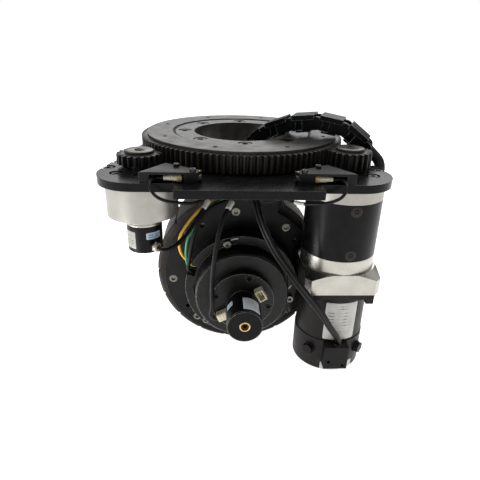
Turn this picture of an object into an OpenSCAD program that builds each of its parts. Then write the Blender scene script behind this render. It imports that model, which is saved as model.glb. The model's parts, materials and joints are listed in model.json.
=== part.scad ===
// Steerable drive wheel unit for an automated guided vehicle.
// The gear ring bolts up under the vehicle. Everything else hangs on the inner ring and turns with it.
// Origin: centre of the gear ring's top mounting face. +Z is up, -Y is the traction motor side.

/* [Steering gears] */
// Tooth module of the steering gears
gear_module = 2; // [1.5:0.5:2.5]
// Teeth on the gear ring
ring_teeth = 110; // [106:1:130]
// Teeth on each pinion
pinion_teeth = 20; // [18:1:26]
// Angle of the pinion axes below the X axis
pinion_angle = 37; // [35:0.5:40]
// Pressure angle of all teeth
pressure_angle = 20; // [18:0.5:25]
// Flank clearance of all teeth
flank_gap = 0.1; // [0.05:0.01:0.2]

/* [Slewing ring] */
// Height of the gear ring
ring_h = 20; // [18:0.5:24]
// Height of the plain rim over the teeth
rim_h = 3; // [2:0.5:5]
// Step from the tooth root to the plain rim
rim_step = 1.7; // [0.5:0.1:3]
// Radius of the ball circle
race_r = 75.75; // [74:0.25:78]
// Ball diameter
ball_d = 9; // [7:0.5:10]
// Number of balls
ball_count = 40; // [24:1:44]
// Gap between the gear ring and the inner ring
ring_split = 1.5; // [1:0.1:2]
// Height of the dust seal
seal_h = 2.5; // [1.5:0.1:3]
// Radial depth of the dust seal's seat
seal_seat = 1.6; // [1:0.1:2.5]
// Wall between the cable bore and the inner ring's counterbores
bore_wall = 3.1; // [2:0.1:5]
// Depth of the inner ring's face below the gear ring's face
inner_step = 1; // [0.5:0.1:2]
// Radius of the tapped hole circle in the gear ring
ring_bolt_r = 92; // [88:0.5:97]
// Number of tapped holes in the gear ring
ring_bolt_count = 8; // [6:1:12]
// Angle of the first tapped hole
ring_bolt_phase = 26; // [0:1:45]
// Tap drill of the gear ring's holes
ring_hole_d = 5; // [4:0.1:6.8]
// Distance from the ball circle in to the inner ring's screw circle
inner_bolt_inset = 11.25; // [11:0.25:13]
// Number of inner ring screws
inner_bolt_count = 8; // [6:1:12]
// Thread of the inner ring screws
inner_screw_d = 8; // [6:1:8]

/* [Base plate] */
// Plate thickness
plate_t = 8; // [7:0.5:12]
// Running gap between the gear ring and the plate
plate_gap = 2; // [1:0.1:4]
// Plate margin outside the gear teeth
plate_lip = 6; // [4:0.5:10]
// Corner radius of the ears
ear_r = 37; // [36:0.5:42]
// Distance of the ear corner's centre in front of the pinion axis
ear_reach = 20; // [18:0.5:24]
// Width of the front tab
tab_w = 130; // [110:1:150]
// Depth of the front tab
tab_d = 18; // [12:1:24]
// Radius of the screw circle round each pinion axis
ear_bolt_r = 30.5; // [29:0.25:32]
// Number of screws round each pinion axis
ear_bolt_count = 8; // [4:1:8]
// Thread of the plate screws
plate_screw_d = 6; // [5:1:6]
// Diameter of the counterbores in the ears
ear_cbore_d = 14; // [12:0.5:15]
// Depth of the counterbores in the ears
ear_cbore_t = 5; // [4:0.5:6]
// Radius of the opening round each pinion shaft
ear_hole_r = 16; // [14:0.5:18]

/* [Pinions] */
// Face width of the steering pinion
steer_face = 16.5; // [12:0.5:17]
// Face width of the encoder pinion
encoder_face = 10; // [8:0.5:14]
// Gap from the plate to the steering pinion
steer_pinion_gap = 2; // [1:0.1:3]
// Gap from the plate to the encoder pinion
encoder_pinion_gap = 3.5; // [2:0.1:6]
// Radius of the pinion hubs
hub_r = 14; // [12:0.5:16]
// Height of the pinion hubs over the teeth
hub_h = 2.5; // [1:0.1:4]
// Diameter of the pinion shafts
pinion_shaft_d = 12; // [10:0.5:14]

/* [Limit sensors] */
// Height of the sensor brackets
sensor_h = 10; // [9:0.5:12]
// Diameter of the sensors and their plugs
sensor_d = 7.2; // [6:0.1:7.4]
// Length of the plugs
plug_l = 22; // [18:0.5:24]

/* [Steering encoder] */
// Radius of the encoder housing
housing_r = 36; // [35.5:0.25:37]
// Height of the encoder housing
housing_h = 39.5; // [36:0.5:46]
// Radius of the steering encoder
encoder_r = 18.2; // [16:0.1:20]
// Length of the steering encoder
encoder_l = 30.5; // [26:0.5:36]
// Outer radius of the shaft bearings
shaft_bearing_r = 14; // [13:0.25:16]
// Width of the shaft bearings
shaft_bearing_w = 8; // [6:0.5:9]

/* [Steering gearmotor] */
// Radius of the gearbox
gearbox_r = 39.3; // [38:0.1:40]
// Height of the silver gearbox flange
gearbox_flange_h = 17.7; // [14:0.1:22]
// Height of the black gearbox body
gearbox_body_h = 61.3; // [50:0.1:70]
// Height of the round part of the motor adapter
adapter_ring_h = 15; // [12:0.5:18]
// Step from the gearbox out to the flats of the motor adapter
adapter_lip = 0.7; // [0.2:0.1:3]
// Height of the square part of the motor adapter
adapter_square_h = 23.5; // [20:0.5:28]
// Corner cut of the motor adapter
adapter_corner = 6; // [4:0.5:9]
// Step from the motor can out to the flats of its front flange
motor_flange_lip = 0.2; // [0.1:0.1:1]
// Height of the motor's square front flange
motor_flange_h = 7; // [5:0.5:9]
// Radius of the steering motor
motor_r = 37.8; // [36:0.1:38]
// Length of the motor can
motor_can_l = 54; // [45:0.5:65]
// Step from the motor can out to the end bell
bell_lip = 0.8; // [0.2:0.1:1.5]
// Length of the motor end bell
motor_bell_l = 41; // [36:0.5:46]
// Radius of the brush caps
brush_cap_r = 7; // [5:0.5:8]
// Width of the terminal box
terminal_w = 26; // [20:0.5:30]
// Height of the terminal box
terminal_h = 29; // [24:0.5:32]
// How far the terminal box stands out
terminal_d = 10; // [7:0.5:14]

/* [Drive wheel] */
// Depth of the axle below the ring's mounting face
axle_drop = 166; // [160:0.5:180]
// Outer diameter of the tyre
wheel_d = 200; // [196:0.5:210]
// Width of the tyre
wheel_w = 60; // [56:0.5:62]
// Thickness of the tyre
tyre_t = 10; // [8:0.5:11]
// Number of grooves across the tread
groove_count = 18; // [12:1:24]
// Width of the tread grooves
groove_w = 4; // [2:0.5:6]
// Depth of the tread grooves
groove_t = 3; // [1:0.5:4]

/* [Wheel bearing and reducer] */
// Radius of the spindle under the wheel bearings
spindle_r = 40; // [39:0.25:41]
// Outer radius of the wheel bearings
wheel_bearing_r = 52; // [51.5:0.25:53]
// Width of each wheel bearing
wheel_bearing_w = 10; // [9:0.25:10.5]
// Tooth module of the reducer
reducer_module = 1.25; // [1.2:0.01:1.3]
// Face width of the reducer gears
reducer_face = 14; // [10:0.5:15]
// Radius of the planet pins
planet_pin_r = 5; // [4:0.25:7]
// Radius of the motor shaft
motor_shaft_r = 7; // [6:0.25:8]

/* [Traction motor] */
// Thickness of the bracket plate
bracket_t = 7; // [6:0.5:9]
// Running gap between the wheel and the bracket plate
bracket_gap = 2; // [1:0.1:4]
// Radius of the bracket plate
bracket_r = 90; // [88:0.5:94]
// Width of the bracket's neck
neck_w = 84; // [76:1:90]
// Reach of the bracket's foot under the base plate
foot_l = 52; // [46:1:58]
// Thickness of the bracket's foot
foot_t = 8; // [6:0.5:10]
// Radius of the bracket's screw circle
bracket_bolt_r = 81; // [78:0.25:82]
// Number of bracket screws
bracket_bolt_count = 8; // [6:1:12]
// Radius of the motor drum's flange
drum_r = 64; // [62:0.5:68]
// Length of the motor drum behind its flange
drum_neck_l = 13; // [8:0.5:16]
// Length of the motor drum's flange
drum_flange_l = 18; // [14:0.5:22]
// Radius of the front motor housing
front_r = 52; // [50:0.5:54]
// Length of the front motor housing
front_l = 20; // [16:0.5:26]
// Radius of the encoder base
cover_r = 34.3; // [32:0.1:38]
// Thickness of the encoder base
cover_l = 10.5; // [8:0.5:14]
// Radius of the traction encoder
cap_r = 18.4; // [16:0.1:20]
// Length of the traction encoder
cap_l = 36.5; // [30:0.5:42]
// Length of the neck between the encoder base and the traction encoder
cap_neck_l = 10; // [6:0.5:14]

/* [Cable carrier] */
// Distance between the pivots of two links
link_pitch = 29; // [27:0.5:30]
// Height of the links
link_h = 17; // [15:0.5:18]
// Inner width of the links
link_w = 15.8; // [14:0.1:17]
// Thickness of the link walls
link_t = 2; // [1.6:0.1:2.4]

/* [Hidden] */
$fn = 64;
// Clearance of parts that sit in one another without turning
seat_gap = 0.02;
// Radial clearance of parts that turn in one another
run_gap = 0.05;
// Clearance of moving parts that pass each other
pass_gap = 0.4;
// Length by which a cut runs past a face
cut = 1;

// Steering gear geometry
ring_pitch_r = gear_module * ring_teeth / 2;
ring_tip_r = ring_pitch_r + gear_module;
ring_root_r = ring_pitch_r - 1.25 * gear_module;
pinion_pitch_r = gear_module * pinion_teeth / 2;
mesh_r = ring_pitch_r + pinion_pitch_r;
pinion_x = mesh_r * cos(pinion_angle);
pinion_y = -mesh_r * sin(pinion_angle);
rim_r = ring_root_r - rim_step;
plate_top = -ring_h - plate_gap;
plate_bottom = plate_top - plate_t;
ball_z = -ring_h / 2 - inner_step;
plate_r = ring_tip_r + plate_lip;
ear_y = pinion_y - ear_reach;
front_y = ear_y - ear_r;
tab_y = front_y - tab_d;
inner_bolt_r = race_r - inner_bolt_inset;
inner_head_r = 0.8 * inner_screw_d + 1;
bore_r = inner_bolt_r - inner_head_r - bore_wall;
shoulder_r = pinion_shaft_d / 2 + 3.5;

// Sensor bracket outline, for the left side
sensor_tip_x = 76;
sensor_tip_d = 32;
sensor_outer_x = 96;
sensor_inner_x = 45;
sensor_nose_x = 41.5;
sensor_nose_d = 8;
sensor_inset = 0.7;
sensor_line = 4.7;
sensor_lift = 0.4;
sensor_tip = [-sensor_tip_x, front_y + sensor_tip_d];
sensor_outer = [-sensor_outer_x, front_y + sensor_inset];
sensor_inner = [-sensor_inner_x, front_y + sensor_inset];
sensor_back = [-sensor_nose_x, front_y + sensor_nose_d];
sensor_axis = [front_y + sensor_line, plate_top + sensor_d / 2 + sensor_lift];
plug_far = 79;
plug_x = [-plug_far, plug_l - plug_far];
plug_pocket = 8.5;

// Steering encoder, with its gland straight out of the wall
boss_h = 9.5;
encoder_top = plate_bottom - housing_h - boss_h;
gland_angle = -53;
gland_z = encoder_top - encoder_l + 7.5;
gland_out = 27;

// Steering gearmotor widths and levels
adapter_w = 2 * (gearbox_r + adapter_lip);
motor_flange_w = 2 * (motor_r + motor_flange_lip);
bell_r = motor_r + bell_lip;
flange_bottom = plate_bottom - gearbox_flange_h;
gearbox_bottom = flange_bottom - gearbox_body_h;
adapter_mid = gearbox_bottom - adapter_ring_h;
adapter_bottom = adapter_mid - adapter_square_h;
can_top = adapter_bottom - motor_flange_h;
can_bottom = can_top - motor_can_l;
bell_bottom = can_bottom - motor_bell_l;
brush_angles = [-133, -43];
brush_z = can_bottom - 15.5;
bell_round = 3;

// Traction drive stations along Y
wheel_r = wheel_d / 2;
rim_wheel_r = wheel_r - tyre_t;
wheel_front = -wheel_w / 2;
bracket_back = wheel_front - bracket_gap;
bracket_front = bracket_back - bracket_t;
drum_mid = bracket_front - drum_neck_l;
drum_front = drum_mid - drum_flange_l;
front_face = drum_front - front_l;
cover_front = front_face - cover_l;
cap_back = cover_front - cap_neck_l;
cap_front = cap_back - cap_l;
spindle_flange_t = 7;
spindle_back = bracket_back + spindle_flange_t;
bearing_y = spindle_back + cut;
bearing_end = bearing_y + 2 * wheel_bearing_w + cut;
gear_y = bearing_end + 5;
gear_end = gear_y + reducer_face;
hub_end = gear_end + 3;
drum_neck_r = drum_r - 4;
stator_r = drum_r - 9;
rotor_r = 34;
stator_end = 6;
rotor_end = 8;
bracket_bolt_phase = -4.5;
bracket_head_t = 4.7;
bracket_cbore_r = 0.8 * plate_screw_d + 0.6;
drum_screw_d = 5;
drum_screw_l = 7;
notch_angle = 159;
notch_w = 13;
notch_r = drum_r - 11;
notch_back = 3;
drum_screw_angles = [106.4, 226.4, 346.4];
drum_bolt_r = (drum_r + front_r) / 2 + 0.5;
cover_bolt_r = cover_r - 5;
cover_bolt_phase = 77;
connector_d = 9;
connector_at = [-21, -14.5];
socket_at = [19, 12];

// Reducer gears: sun on the motor shaft, planets on fixed pins, ring gear in the wheel
sun_teeth = 18;
planet_teeth = 27;
reducer_teeth = sun_teeth + 2 * planet_teeth;
planet_count = 3;
planet_r = reducer_module * (sun_teeth + planet_teeth) / 2;
planet_start = 90;
sun_phase = (360 / sun_teeth)
    * ((sun_teeth + reducer_teeth) * planet_start / 360 + planet_teeth / 2 - 0.5);

// Cable carrier: pivots in a vertical plane that leaves the bore towards the right ear
chain_yaw = -22;
chain_foot = [10, 0];
chain_start = [0, -19.5];
chain_headings = [45, 22, 7, -8, -36];
chain_last = len(chain_headings);
chain_end = pivot(chain_last);
link_gap = 0.3;
link_ear_r = link_h / 2 - 1.6;
lid_space = 5;
skirt_t = 0.8;
skirt_h = 3;

// Cord routes, from the device to the cable clamp
clamp_size = [36, 18, 16];
clamp_top = plate_bottom - foot_t;
clamp_y = bracket_front - 20.5;
sensor_cable_r = 1.5;
sensor_route = [[-79.1, -130.5, -18], [-82, -130.8, -18], [-85, -135, -18.5], [-86, -142, -21.5],
    [-81, -147, -29], [-71, -147, -34], [-60, -140, -38], [-48, -122, -44], [-28, -84, -46],
    [-14.4, -60.9, -46]];
encoder_cable_r = 2.3;
encoder_route = [[-87.6, -99.8, -102], [-82, -104, -102], [-73, -101, -100], [-64, -93, -95],
    [-56, -85, -87], [-48, -78, -77], [-38, -68, -63], [-28, -57, -51], [-19.5, -52.6, -47.4]];
motor_cable_r = 4.2;
motor_route = [[105, -121.5, -208.7], [105, -121.5, -204], [102, -124, -197], [93, -127, -183],
    [79, -128, -161], [52, -122, -128], [29, -112, -97], [16, -102, -71], [11, -84, -53],
    [8.1, -61.4, -47.3]];
lead_r = 2.4;
lead_route = [[-27.2, -105, -183.4], [-30, -105.1, -184.6], [-34, -106, -180], [-33, -108, -169],
    [-33, -110, -156], [-33, -110, -138], [-30, -107, -106], [-24, -100, -76], [-16, -91, -60],
    [-5, -70, -49], [-4.1, -60.7, -47.1]];
wire_r = 1.6;
yellow_route = [[-52.5, -57.2, -145.9], [-57, -59, -142], [-64, -62, -133], [-69, -65, -121],
    [-69, -65, -106], [-60, -63, -90], [-44, -60, -72], [-22, -52, -60], [-14.6, -51.1, -55.6]];
green_route = [[-52.7, -61.5, -145.8], [-57, -63.5, -143.9], [-60.8, -66.5, -138.5],
    [-62, -68.5, -130], [-62, -70, -119], [-59, -70, -103], [-49, -67, -87], [-34, -61, -70],
    [-14, -55, -60], [-8.6, -54.1, -55.4]];
brake_r = 2.2;
brake_route = [[-53.9, -66, -146.8], [-57.5, -69.5, -144.5], [-60, -73, -139.5],
    [-58.5, -75.5, -129], [-56, -76, -112], [-50, -75, -90], [-36, -70, -70], [-11, -61, -61],
    [-3, -57.4, -56.1]];
sleeve_r = 5.5;
sleeve_tail = [[137, -51, -13], [144, -54, -21], [146, -54, -32], [141, -45, -40], [122, -26, -42],
    [86, -17, -42], [62, -27, -46], [56, -41, -53], [44, -52, -61], [27, -53, -66], [14, -51, -64],
    [9.5, -50, -57.2]];

// Involute function in degrees
function involute(angle) = tan(angle) * 180 / PI - angle;

// Half of a tooth's angle at radius r, widened by grow on each flank
function half_tooth(r, pitch_r, teeth, grow) =
    let (base_r = pitch_r * cos(pressure_angle), seen = max(r, base_r))
    90 / teeth + involute(pressure_angle) - involute(acos(base_r / seen)) + grow / r * 180 / PI;

// Outline of a gear from its root radius to its tip radius, with steps + 1 points on each flank
function gear_outline(teeth, mod, root_r, tip_r, grow, steps) =
    let (pitch_r = mod * teeth / 2,
        radii = [for (i = [0:steps]) root_r + (tip_r - root_r) * i / steps])
    [for (t = [0:teeth - 1], side = [-1, 1], i = [0:steps])
        let (r = radii[side < 0 ? i : steps - i],
            a = 360 * t / teeth + side * half_tooth(r, pitch_r, teeth, grow))
        r * [cos(a), sin(a)]];

// Points on an arc
function arc(centre, r, from, to, steps) =
    [for (i = [0:steps]) let (a = from + (to - from) * i / steps) centre + r * [cos(a), sin(a)]];

// Pivot i of the cable carrier in its own plane
function pivot(i) = i == 0 ? chain_start
    : pivot(i - 1) + link_pitch * [cos(chain_headings[i - 1]), sin(chain_headings[i - 1])];

// A point of the carrier's plane in the part's frame
function chain_point(p) =
    [chain_foot[0] + p[0] * cos(chain_yaw), chain_foot[1] + p[0] * sin(chain_yaw), p[1]];

function unit(v) = v / norm(v);

// Direction of a route at point i
function heading(route, i) =
    unit(route[min(i + 1, len(route) - 1)] - route[max(i - 1, 0)]);

// Ring of points round a route's point
function route_ring(route, i, r, sides, side_on) =
    let (t = heading(route, i), u = unit(cross(t, side_on)), v = cross(t, u))
    [for (k = [0:sides - 1]) route[i] + r * (u * cos(360 * k / sides) + v * sin(360 * k / sides))];

// A closed tube along a route. side_on is never parallel to the route.
module tube(route, r, sides, side_on) {
    rings = len(route);
    walls = [for (i = [0:rings - 2], k = [0:sides - 1])
        let (n = (k + 1) % sides, here = i * sides, next = here + sides)
        each [[here + k, next + k, next + n], [here + k, next + n, here + n]]];
    start = [for (k = [0:sides - 1]) k];
    end = [for (k = [sides - 1:-1:0]) (rings - 1) * sides + k];
    polyhedron([for (i = [0:rings - 1]) each route_ring(route, i, r, sides, side_on)],
        concat(walls, [start, end]), convexity = 4);
}

// A cylinder from bottom up to top
module post(r, bottom, top) {
    translate([0, 0, bottom]) cylinder(r = r, h = top - bottom);
}

// A ring from bottom up to top
module collar(outer, inner, bottom, top) {
    difference() {
        post(outer, bottom, top);
        post(inner, bottom - cut, top + cut);
    }
}

// Turns a shape so that its Z runs along +Y on the wheel axle
module on_axle() {
    translate([0, 0, -axle_drop]) rotate([-90, 0, 0]) children();
}

// Places copies on a circle
module around(r, count, phase) {
    for (i = [0:count - 1])
        rotate(phase + 360 * i / count) translate([r, 0, 0]) children();
}

module at_pinion(side) {
    translate([side * pinion_x, pinion_y, 0]) children();
}

// Socket head cap screw: head up from z = 0, shank down
module cap_screw(d, length, head_h) {
    socket_r = 0.45 * d;
    difference() {
        union() {
            cylinder(d = 1.6 * d, h = head_h);
            post(d / 2 - seat_gap, -length, 0);
        }
        translate([0, 0, head_h / 2]) cylinder(r = socket_r, h = head_h, $fn = 6);
    }
}

module gear(teeth, mod, height, steps) {
    pitch_r = mod * teeth / 2;
    linear_extrude(height)
        polygon(gear_outline(teeth, mod, pitch_r - 1.25 * mod, pitch_r + mod, -flank_gap / 2, steps));
}

// Raceway groove of the slewing ring
module raceway() {
    rotate_extrude() translate([race_r, ball_z]) circle(d = ball_d + 2 * run_gap);
}

module gear_ring() color("#3a3835") {
    inner_r = race_r + ring_split / 2;
    difference() {
        union() {
            post(rim_r, -ring_h, 0);
            translate([0, 0, -ring_h]) gear(ring_teeth, gear_module, ring_h - rim_h, 2);
        }
        post(inner_r, -ring_h - cut, cut);
        post(inner_r + seal_seat, -seal_h - inner_step, cut);
        raceway();
        around(ring_bolt_r, ring_bolt_count, ring_bolt_phase)
            post(ring_hole_d / 2, -ring_h - cut, cut);
    }
}

module ring_seal() color("#161616") {
    outer_r = race_r + ring_split / 2 + seal_seat - seat_gap;
    collar(outer_r, race_r - ring_split / 2 + pass_gap, -seal_h - inner_step + seat_gap, -inner_step);
}

module race_balls() color("#c8c8c8") {
    around(race_r, ball_count, 0) translate([0, 0, ball_z]) sphere(d = ball_d);
}

module inner_ring() color("#3d3b38") {
    head_t = inner_screw_d + 0.5;
    difference() {
        post(race_r - ring_split / 2, plate_top, -inner_step);
        post(bore_r, plate_top - cut, 0);
        raceway();
        around(inner_bolt_r, inner_bolt_count, 0) {
            post(inner_screw_d / 2 + 0.5, plate_top - cut, 0);
            post(inner_head_r, -inner_step - head_t, 0);
        }
    }
}

module inner_ring_screws() color("#2c2c2c") {
    head_t = inner_screw_d + 0.5;
    seat = -inner_step - head_t;
    around(inner_bolt_r, inner_bolt_count, 0) translate([0, 0, seat])
        cap_screw(inner_screw_d, seat - plate_bottom - cut, inner_screw_d);
}

// Half outline of the plate on the right side, from the front middle round to the back
function plate_side() =
    let (ear = [pinion_x, ear_y], reach = norm(ear), lean = atan2(ear_y, pinion_x),
        tangent = lean + acos((plate_r - ear_r) / reach))
    concat([[tab_w / 2, tab_y], [tab_w / 2, front_y]],
        arc(ear, ear_r, -90, tangent, 24),
        arc([0, 0], plate_r, tangent, 90, 24));

module base_plate() color("#26262a") {
    right = plate_side();
    left = [for (i = [len(right) - 1:-1:0]) [-right[i][0], right[i][1]]];
    difference() {
        translate([0, 0, plate_bottom]) linear_extrude(plate_t) polygon(concat(right, left));
        post(bore_r, plate_bottom - cut, plate_top + cut);
        around(inner_bolt_r, inner_bolt_count, 0)
            post(inner_screw_d / 2, plate_bottom - cut, plate_top + cut);
        for (side = [-1, 1]) at_pinion(side) {
            post(ear_hole_r, plate_bottom - cut, plate_top + cut);
            ear_screw_places(side) {
                post(plate_screw_d / 2 + 0.3, plate_bottom - cut, plate_top + cut);
                post(ear_cbore_d / 2, plate_top - ear_cbore_t, plate_top + cut);
            }
        }
        foot_screw_places() {
            post(plate_screw_d / 2 + 0.3, plate_bottom - cut, plate_top + cut);
            post(ear_cbore_d / 2, plate_top - ear_cbore_t, plate_top + cut);
        }
    }
}

module ear_screw_places(side) {
    mirror([side < 0 ? 1 : 0, 0, 0]) around(ear_bolt_r, ear_bolt_count, -54) children();
}

module foot_screw_places() {
    for (x = [-1, 1] * (neck_w / 2 - 9), y = [8, 20])
        translate([x, bracket_back - foot_l + y, 0]) children();
}

module plate_screws() color("#3a3a3a") {
    seat = plate_top - ear_cbore_t;
    length = plate_t - ear_cbore_t + 5;
    for (side = [-1, 1]) at_pinion(side) ear_screw_places(side)
        translate([0, 0, seat]) cap_screw(plate_screw_d, length, ear_cbore_t - 0.5);
    foot_screw_places() translate([0, 0, seat]) cap_screw(plate_screw_d, length, ear_cbore_t - 0.5);
}

// Wedge block with a pocket for the plug and a bore for the sensor, for the left side
module sensor_bracket() {
    lip = sensor_h - sensor_d - 0.8;
    bend_room = 8.5;
    difference() {
        translate([0, 0, plate_top]) linear_extrude(sensor_h)
            polygon([sensor_outer, sensor_inner, sensor_back, sensor_tip]);
        translate([plug_x[0] - bend_room, front_y - cut, plate_top - cut])
            cube([plug_l + bend_room, plug_pocket + cut, sensor_h - lip + cut]);
        along_sensor(plug_x[1] - cut, -30) circle(d = sensor_d + 2 * seat_gap);
    }
}

// Extrudes a 2D shape along X on the left sensor's axis
module along_sensor(from, to) {
    translate([from, sensor_axis[0], sensor_axis[1]]) rotate([90, 0, 90])
        linear_extrude(to - from) children();
}

module both_sides() {
    children();
    mirror([1, 0, 0]) children();
}

module sensor_brackets() color("#2a2a2a") both_sides() sensor_bracket();

module limit_sensors() color("#c79a4b") {
    both_sides() along_sensor(plug_x[1], sensor_back[0] - 0.5) circle(d = sensor_d);
}

module sensor_plugs() color("#d8c9a2") {
    nut_l = 4;
    boot_l = 7;
    both_sides() {
        along_sensor(plug_x[1] - nut_l, plug_x[1]) circle(d = sensor_d);
        along_sensor(plug_x[0] + boot_l, plug_x[1] - nut_l) circle(d = sensor_d - 1);
        along_sensor(plug_x[0], plug_x[0] + boot_l) circle(d = sensor_d - 3);
    }
}

module sensor_cable_left() color("#1b1b1b") tube(sensor_route, sensor_cable_r, 8, [0.3, 0.2, 1]);

module sensor_cable_right() color("#1b1b1b")
    mirror([1, 0, 0]) tube(sensor_route, sensor_cable_r, 8, [0.3, 0.2, 1]);

module encoder_housing() color("#c6c2b8") {
    bottom = plate_bottom - housing_h;
    bearing_depth = 2 * shaft_bearing_w + 8;
    at_pinion(-1) difference() {
        union() {
            post(housing_r, bottom, plate_bottom);
            post(encoder_r, encoder_top, bottom);
        }
        post(shaft_bearing_r + seat_gap, plate_bottom - bearing_depth, plate_bottom + cut);
        post(shaft_bearing_r - 2, bottom + 4, plate_bottom - bearing_depth + cut);
        post(pinion_shaft_d / 2 + 1, encoder_top - cut, bottom + 5);
        ear_screw_places(-1) post(plate_screw_d / 2, plate_bottom - 8, plate_bottom + cut);
    }
}

module shaft_bearings() color("#b8bcc0") {
    for (top = [plate_bottom - 3, plate_bottom - 7 - shaft_bearing_w]) at_pinion(-1)
        collar(shaft_bearing_r, pinion_shaft_d / 2 + run_gap, top - shaft_bearing_w, top);
}

module steer_encoder() color("#1d1d1f") {
    at_pinion(-1) difference() {
        post(encoder_r, encoder_top - encoder_l, encoder_top);
        post(pinion_shaft_d / 2 + 1, encoder_top - 8, encoder_top + cut);
    }
}

module encoder_gland() color("#c9c4b6") {
    at_pinion(-1) translate([0, 0, gland_z]) rotate([0, 90, gland_angle]) difference() {
        union() {
            post(4.6, encoder_r, gland_out);
            post(5.6, encoder_r + 2, encoder_r + 6);
        }
        at_encoder_wall() post(encoder_r + seat_gap, -10, 10);
        post(encoder_cable_r + seat_gap, encoder_r + 5, gland_out + cut);
    }
}

// Undoes the gland's turn, for a cut that follows the encoder's wall
module at_encoder_wall() {
    rotate([0, -90, 0]) children();
}

module steer_encoder_cable() color("#232323") tube(encoder_route, encoder_cable_r, 8, [0.2, 1, 0.3]);

module gearbox_flange() color("#cbc7bd") {
    at_pinion(1) difference() {
        post(gearbox_r, flange_bottom, plate_bottom);
        post(pinion_shaft_d / 2 + run_gap, flange_bottom - cut, plate_bottom + cut);
        ear_screw_places(1) post(plate_screw_d / 2, plate_bottom - 8, plate_bottom + cut);
    }
}

module gearbox_body() color("#242326") {
    at_pinion(1) post(gearbox_r, gearbox_bottom, flange_bottom);
}

// Square outline with cut corners
module cut_square(w, corner) {
    h = w / 2;
    k = h - corner;
    polygon([[h, -k], [h, k], [k, h], [-k, h], [-h, k], [-h, -k], [-k, -h], [k, -h]]);
}

module motor_adapter() color("#d4d2cb") {
    corner_r = norm([adapter_w / 2, adapter_w / 2 - adapter_corner]);
    slope_h = 7;
    at_pinion(1) {
        post(gearbox_r, adapter_mid, gearbox_bottom);
        intersection() {
            translate([0, 0, adapter_bottom]) linear_extrude(adapter_square_h)
                cut_square(adapter_w, adapter_corner);
            union() {
                post(corner_r + cut, adapter_bottom - cut, adapter_mid - slope_h);
                translate([0, 0, adapter_mid - slope_h])
                    cylinder(r1 = corner_r + cut, r2 = adapter_w / 2, h = slope_h + cut);
            }
        }
    }
}

module steer_motor() color("#2a2727") {
    at_pinion(1) {
        translate([0, 0, can_top]) linear_extrude(motor_flange_h) cut_square(motor_flange_w, adapter_corner);
        post(motor_r, can_bottom, can_top);
        translate([motor_flange_w / 2 - 11, -motor_flange_w / 2, can_top - 5]) cube([8, 6, 8]);
    }
}

module motor_end_bell() color("#2b2828") {
    at_pinion(1) rotate_extrude() polygon(concat([[0, bell_bottom], [bell_r - bell_round, bell_bottom]],
        arc([bell_r - bell_round, bell_bottom + bell_round], bell_round, -90, 0, 8),
        [[bell_r, can_bottom], [0, can_bottom]]));
}

// Round collar with a hexagon head, standing out of the end bell
module brush_caps() color("#1e1c1c") {
    collar_h = 1.2;
    stand = 5;
    for (angle = brush_angles) at_pinion(1) translate([0, 0, brush_z]) rotate([0, 90, angle])
        difference() {
            union() {
                post(brush_cap_r, bell_r - 4, bell_r + collar_h);
                post(brush_cap_r - 0.5, bell_r, bell_r + stand, $fn = 6);
            }
            rotate([0, -90, 0]) post(bell_r + seat_gap, -20, 20);
        }
}

module terminal_box() color("#232121") {
    at_pinion(1) difference() {
        translate([-terminal_w / 2, -bell_r - terminal_d, can_bottom - terminal_h - 0.5])
            cube([terminal_w, terminal_d + 8, terminal_h]);
        post(bell_r + seat_gap, bell_bottom - cut, can_bottom + cut);
        for (p = [[-8, 9], [8, 4]])
            translate([p[0], -bell_r - terminal_d - cut, can_bottom - terminal_h + p[1]])
                rotate([-90, 0, 0]) cylinder(r = 1.8, h = 4);
    }
}

module steer_motor_cable() color("#2b2b2b") tube(motor_route, motor_cable_r, 10, [0.3, 1, 0.2]);

// Side view of the bracket plate: disc and neck, in X and Z about the axle
module bracket_outline() {
    circle(r = bracket_r);
    translate([-neck_w / 2, 0]) square([neck_w, axle_drop + plate_bottom]);
}

module drive_bracket() color("#1f1f21") {
    gusset_t = 8;
    gusset = 26;
    relief = 0.5;
    difference() {
        union() {
            translate([0, bracket_back, -axle_drop]) rotate([90, 0, 0])
                linear_extrude(bracket_t) bracket_outline();
            translate([-neck_w / 2, bracket_back - foot_l, plate_bottom - foot_t])
                cube([neck_w, foot_l, foot_t]);
            for (x = [-neck_w / 2, neck_w / 2 - gusset_t])
                translate([x, bracket_front, plate_bottom - foot_t]) rotate([90, 0, 90])
                    linear_extrude(gusset_t) polygon([[0, 0], [-gusset, 0], [0, -gusset]]);
        }
        on_axle() {
            post(spindle_r, bracket_front - cut, bracket_back + cut);
            bracket_screw_places() {
                post(plate_screw_d / 2 + 0.3, bracket_front - cut, bracket_back + cut);
                post(bracket_cbore_r, bracket_front - cut, bracket_front + bracket_head_t);
            }
            around(bracket_bolt_r - 3, 4, 55)
                post(plate_screw_d / 2, bracket_front - cut, bracket_back + cut);
        }
        foot_screw_places() post(plate_screw_d / 2, plate_bottom - foot_t - cut, plate_bottom + cut);
        at_pinion(1) translate([0, 0, adapter_bottom - relief])
            linear_extrude(adapter_square_h + 2 * relief) square(adapter_w + 2 * relief, center = true);
    }
}

module bracket_screw_places() {
    around(bracket_bolt_r, bracket_bolt_count, bracket_bolt_phase) children();
}

module bracket_screws() color("#b9b9b4") {
    length = bracket_t - bracket_head_t + spindle_flange_t - 1;
    on_axle() bracket_screw_places() translate([0, 0, bracket_front + bracket_head_t])
        rotate([180, 0, 0]) cap_screw(plate_screw_d, length, bracket_head_t - 0.2);
}

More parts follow.
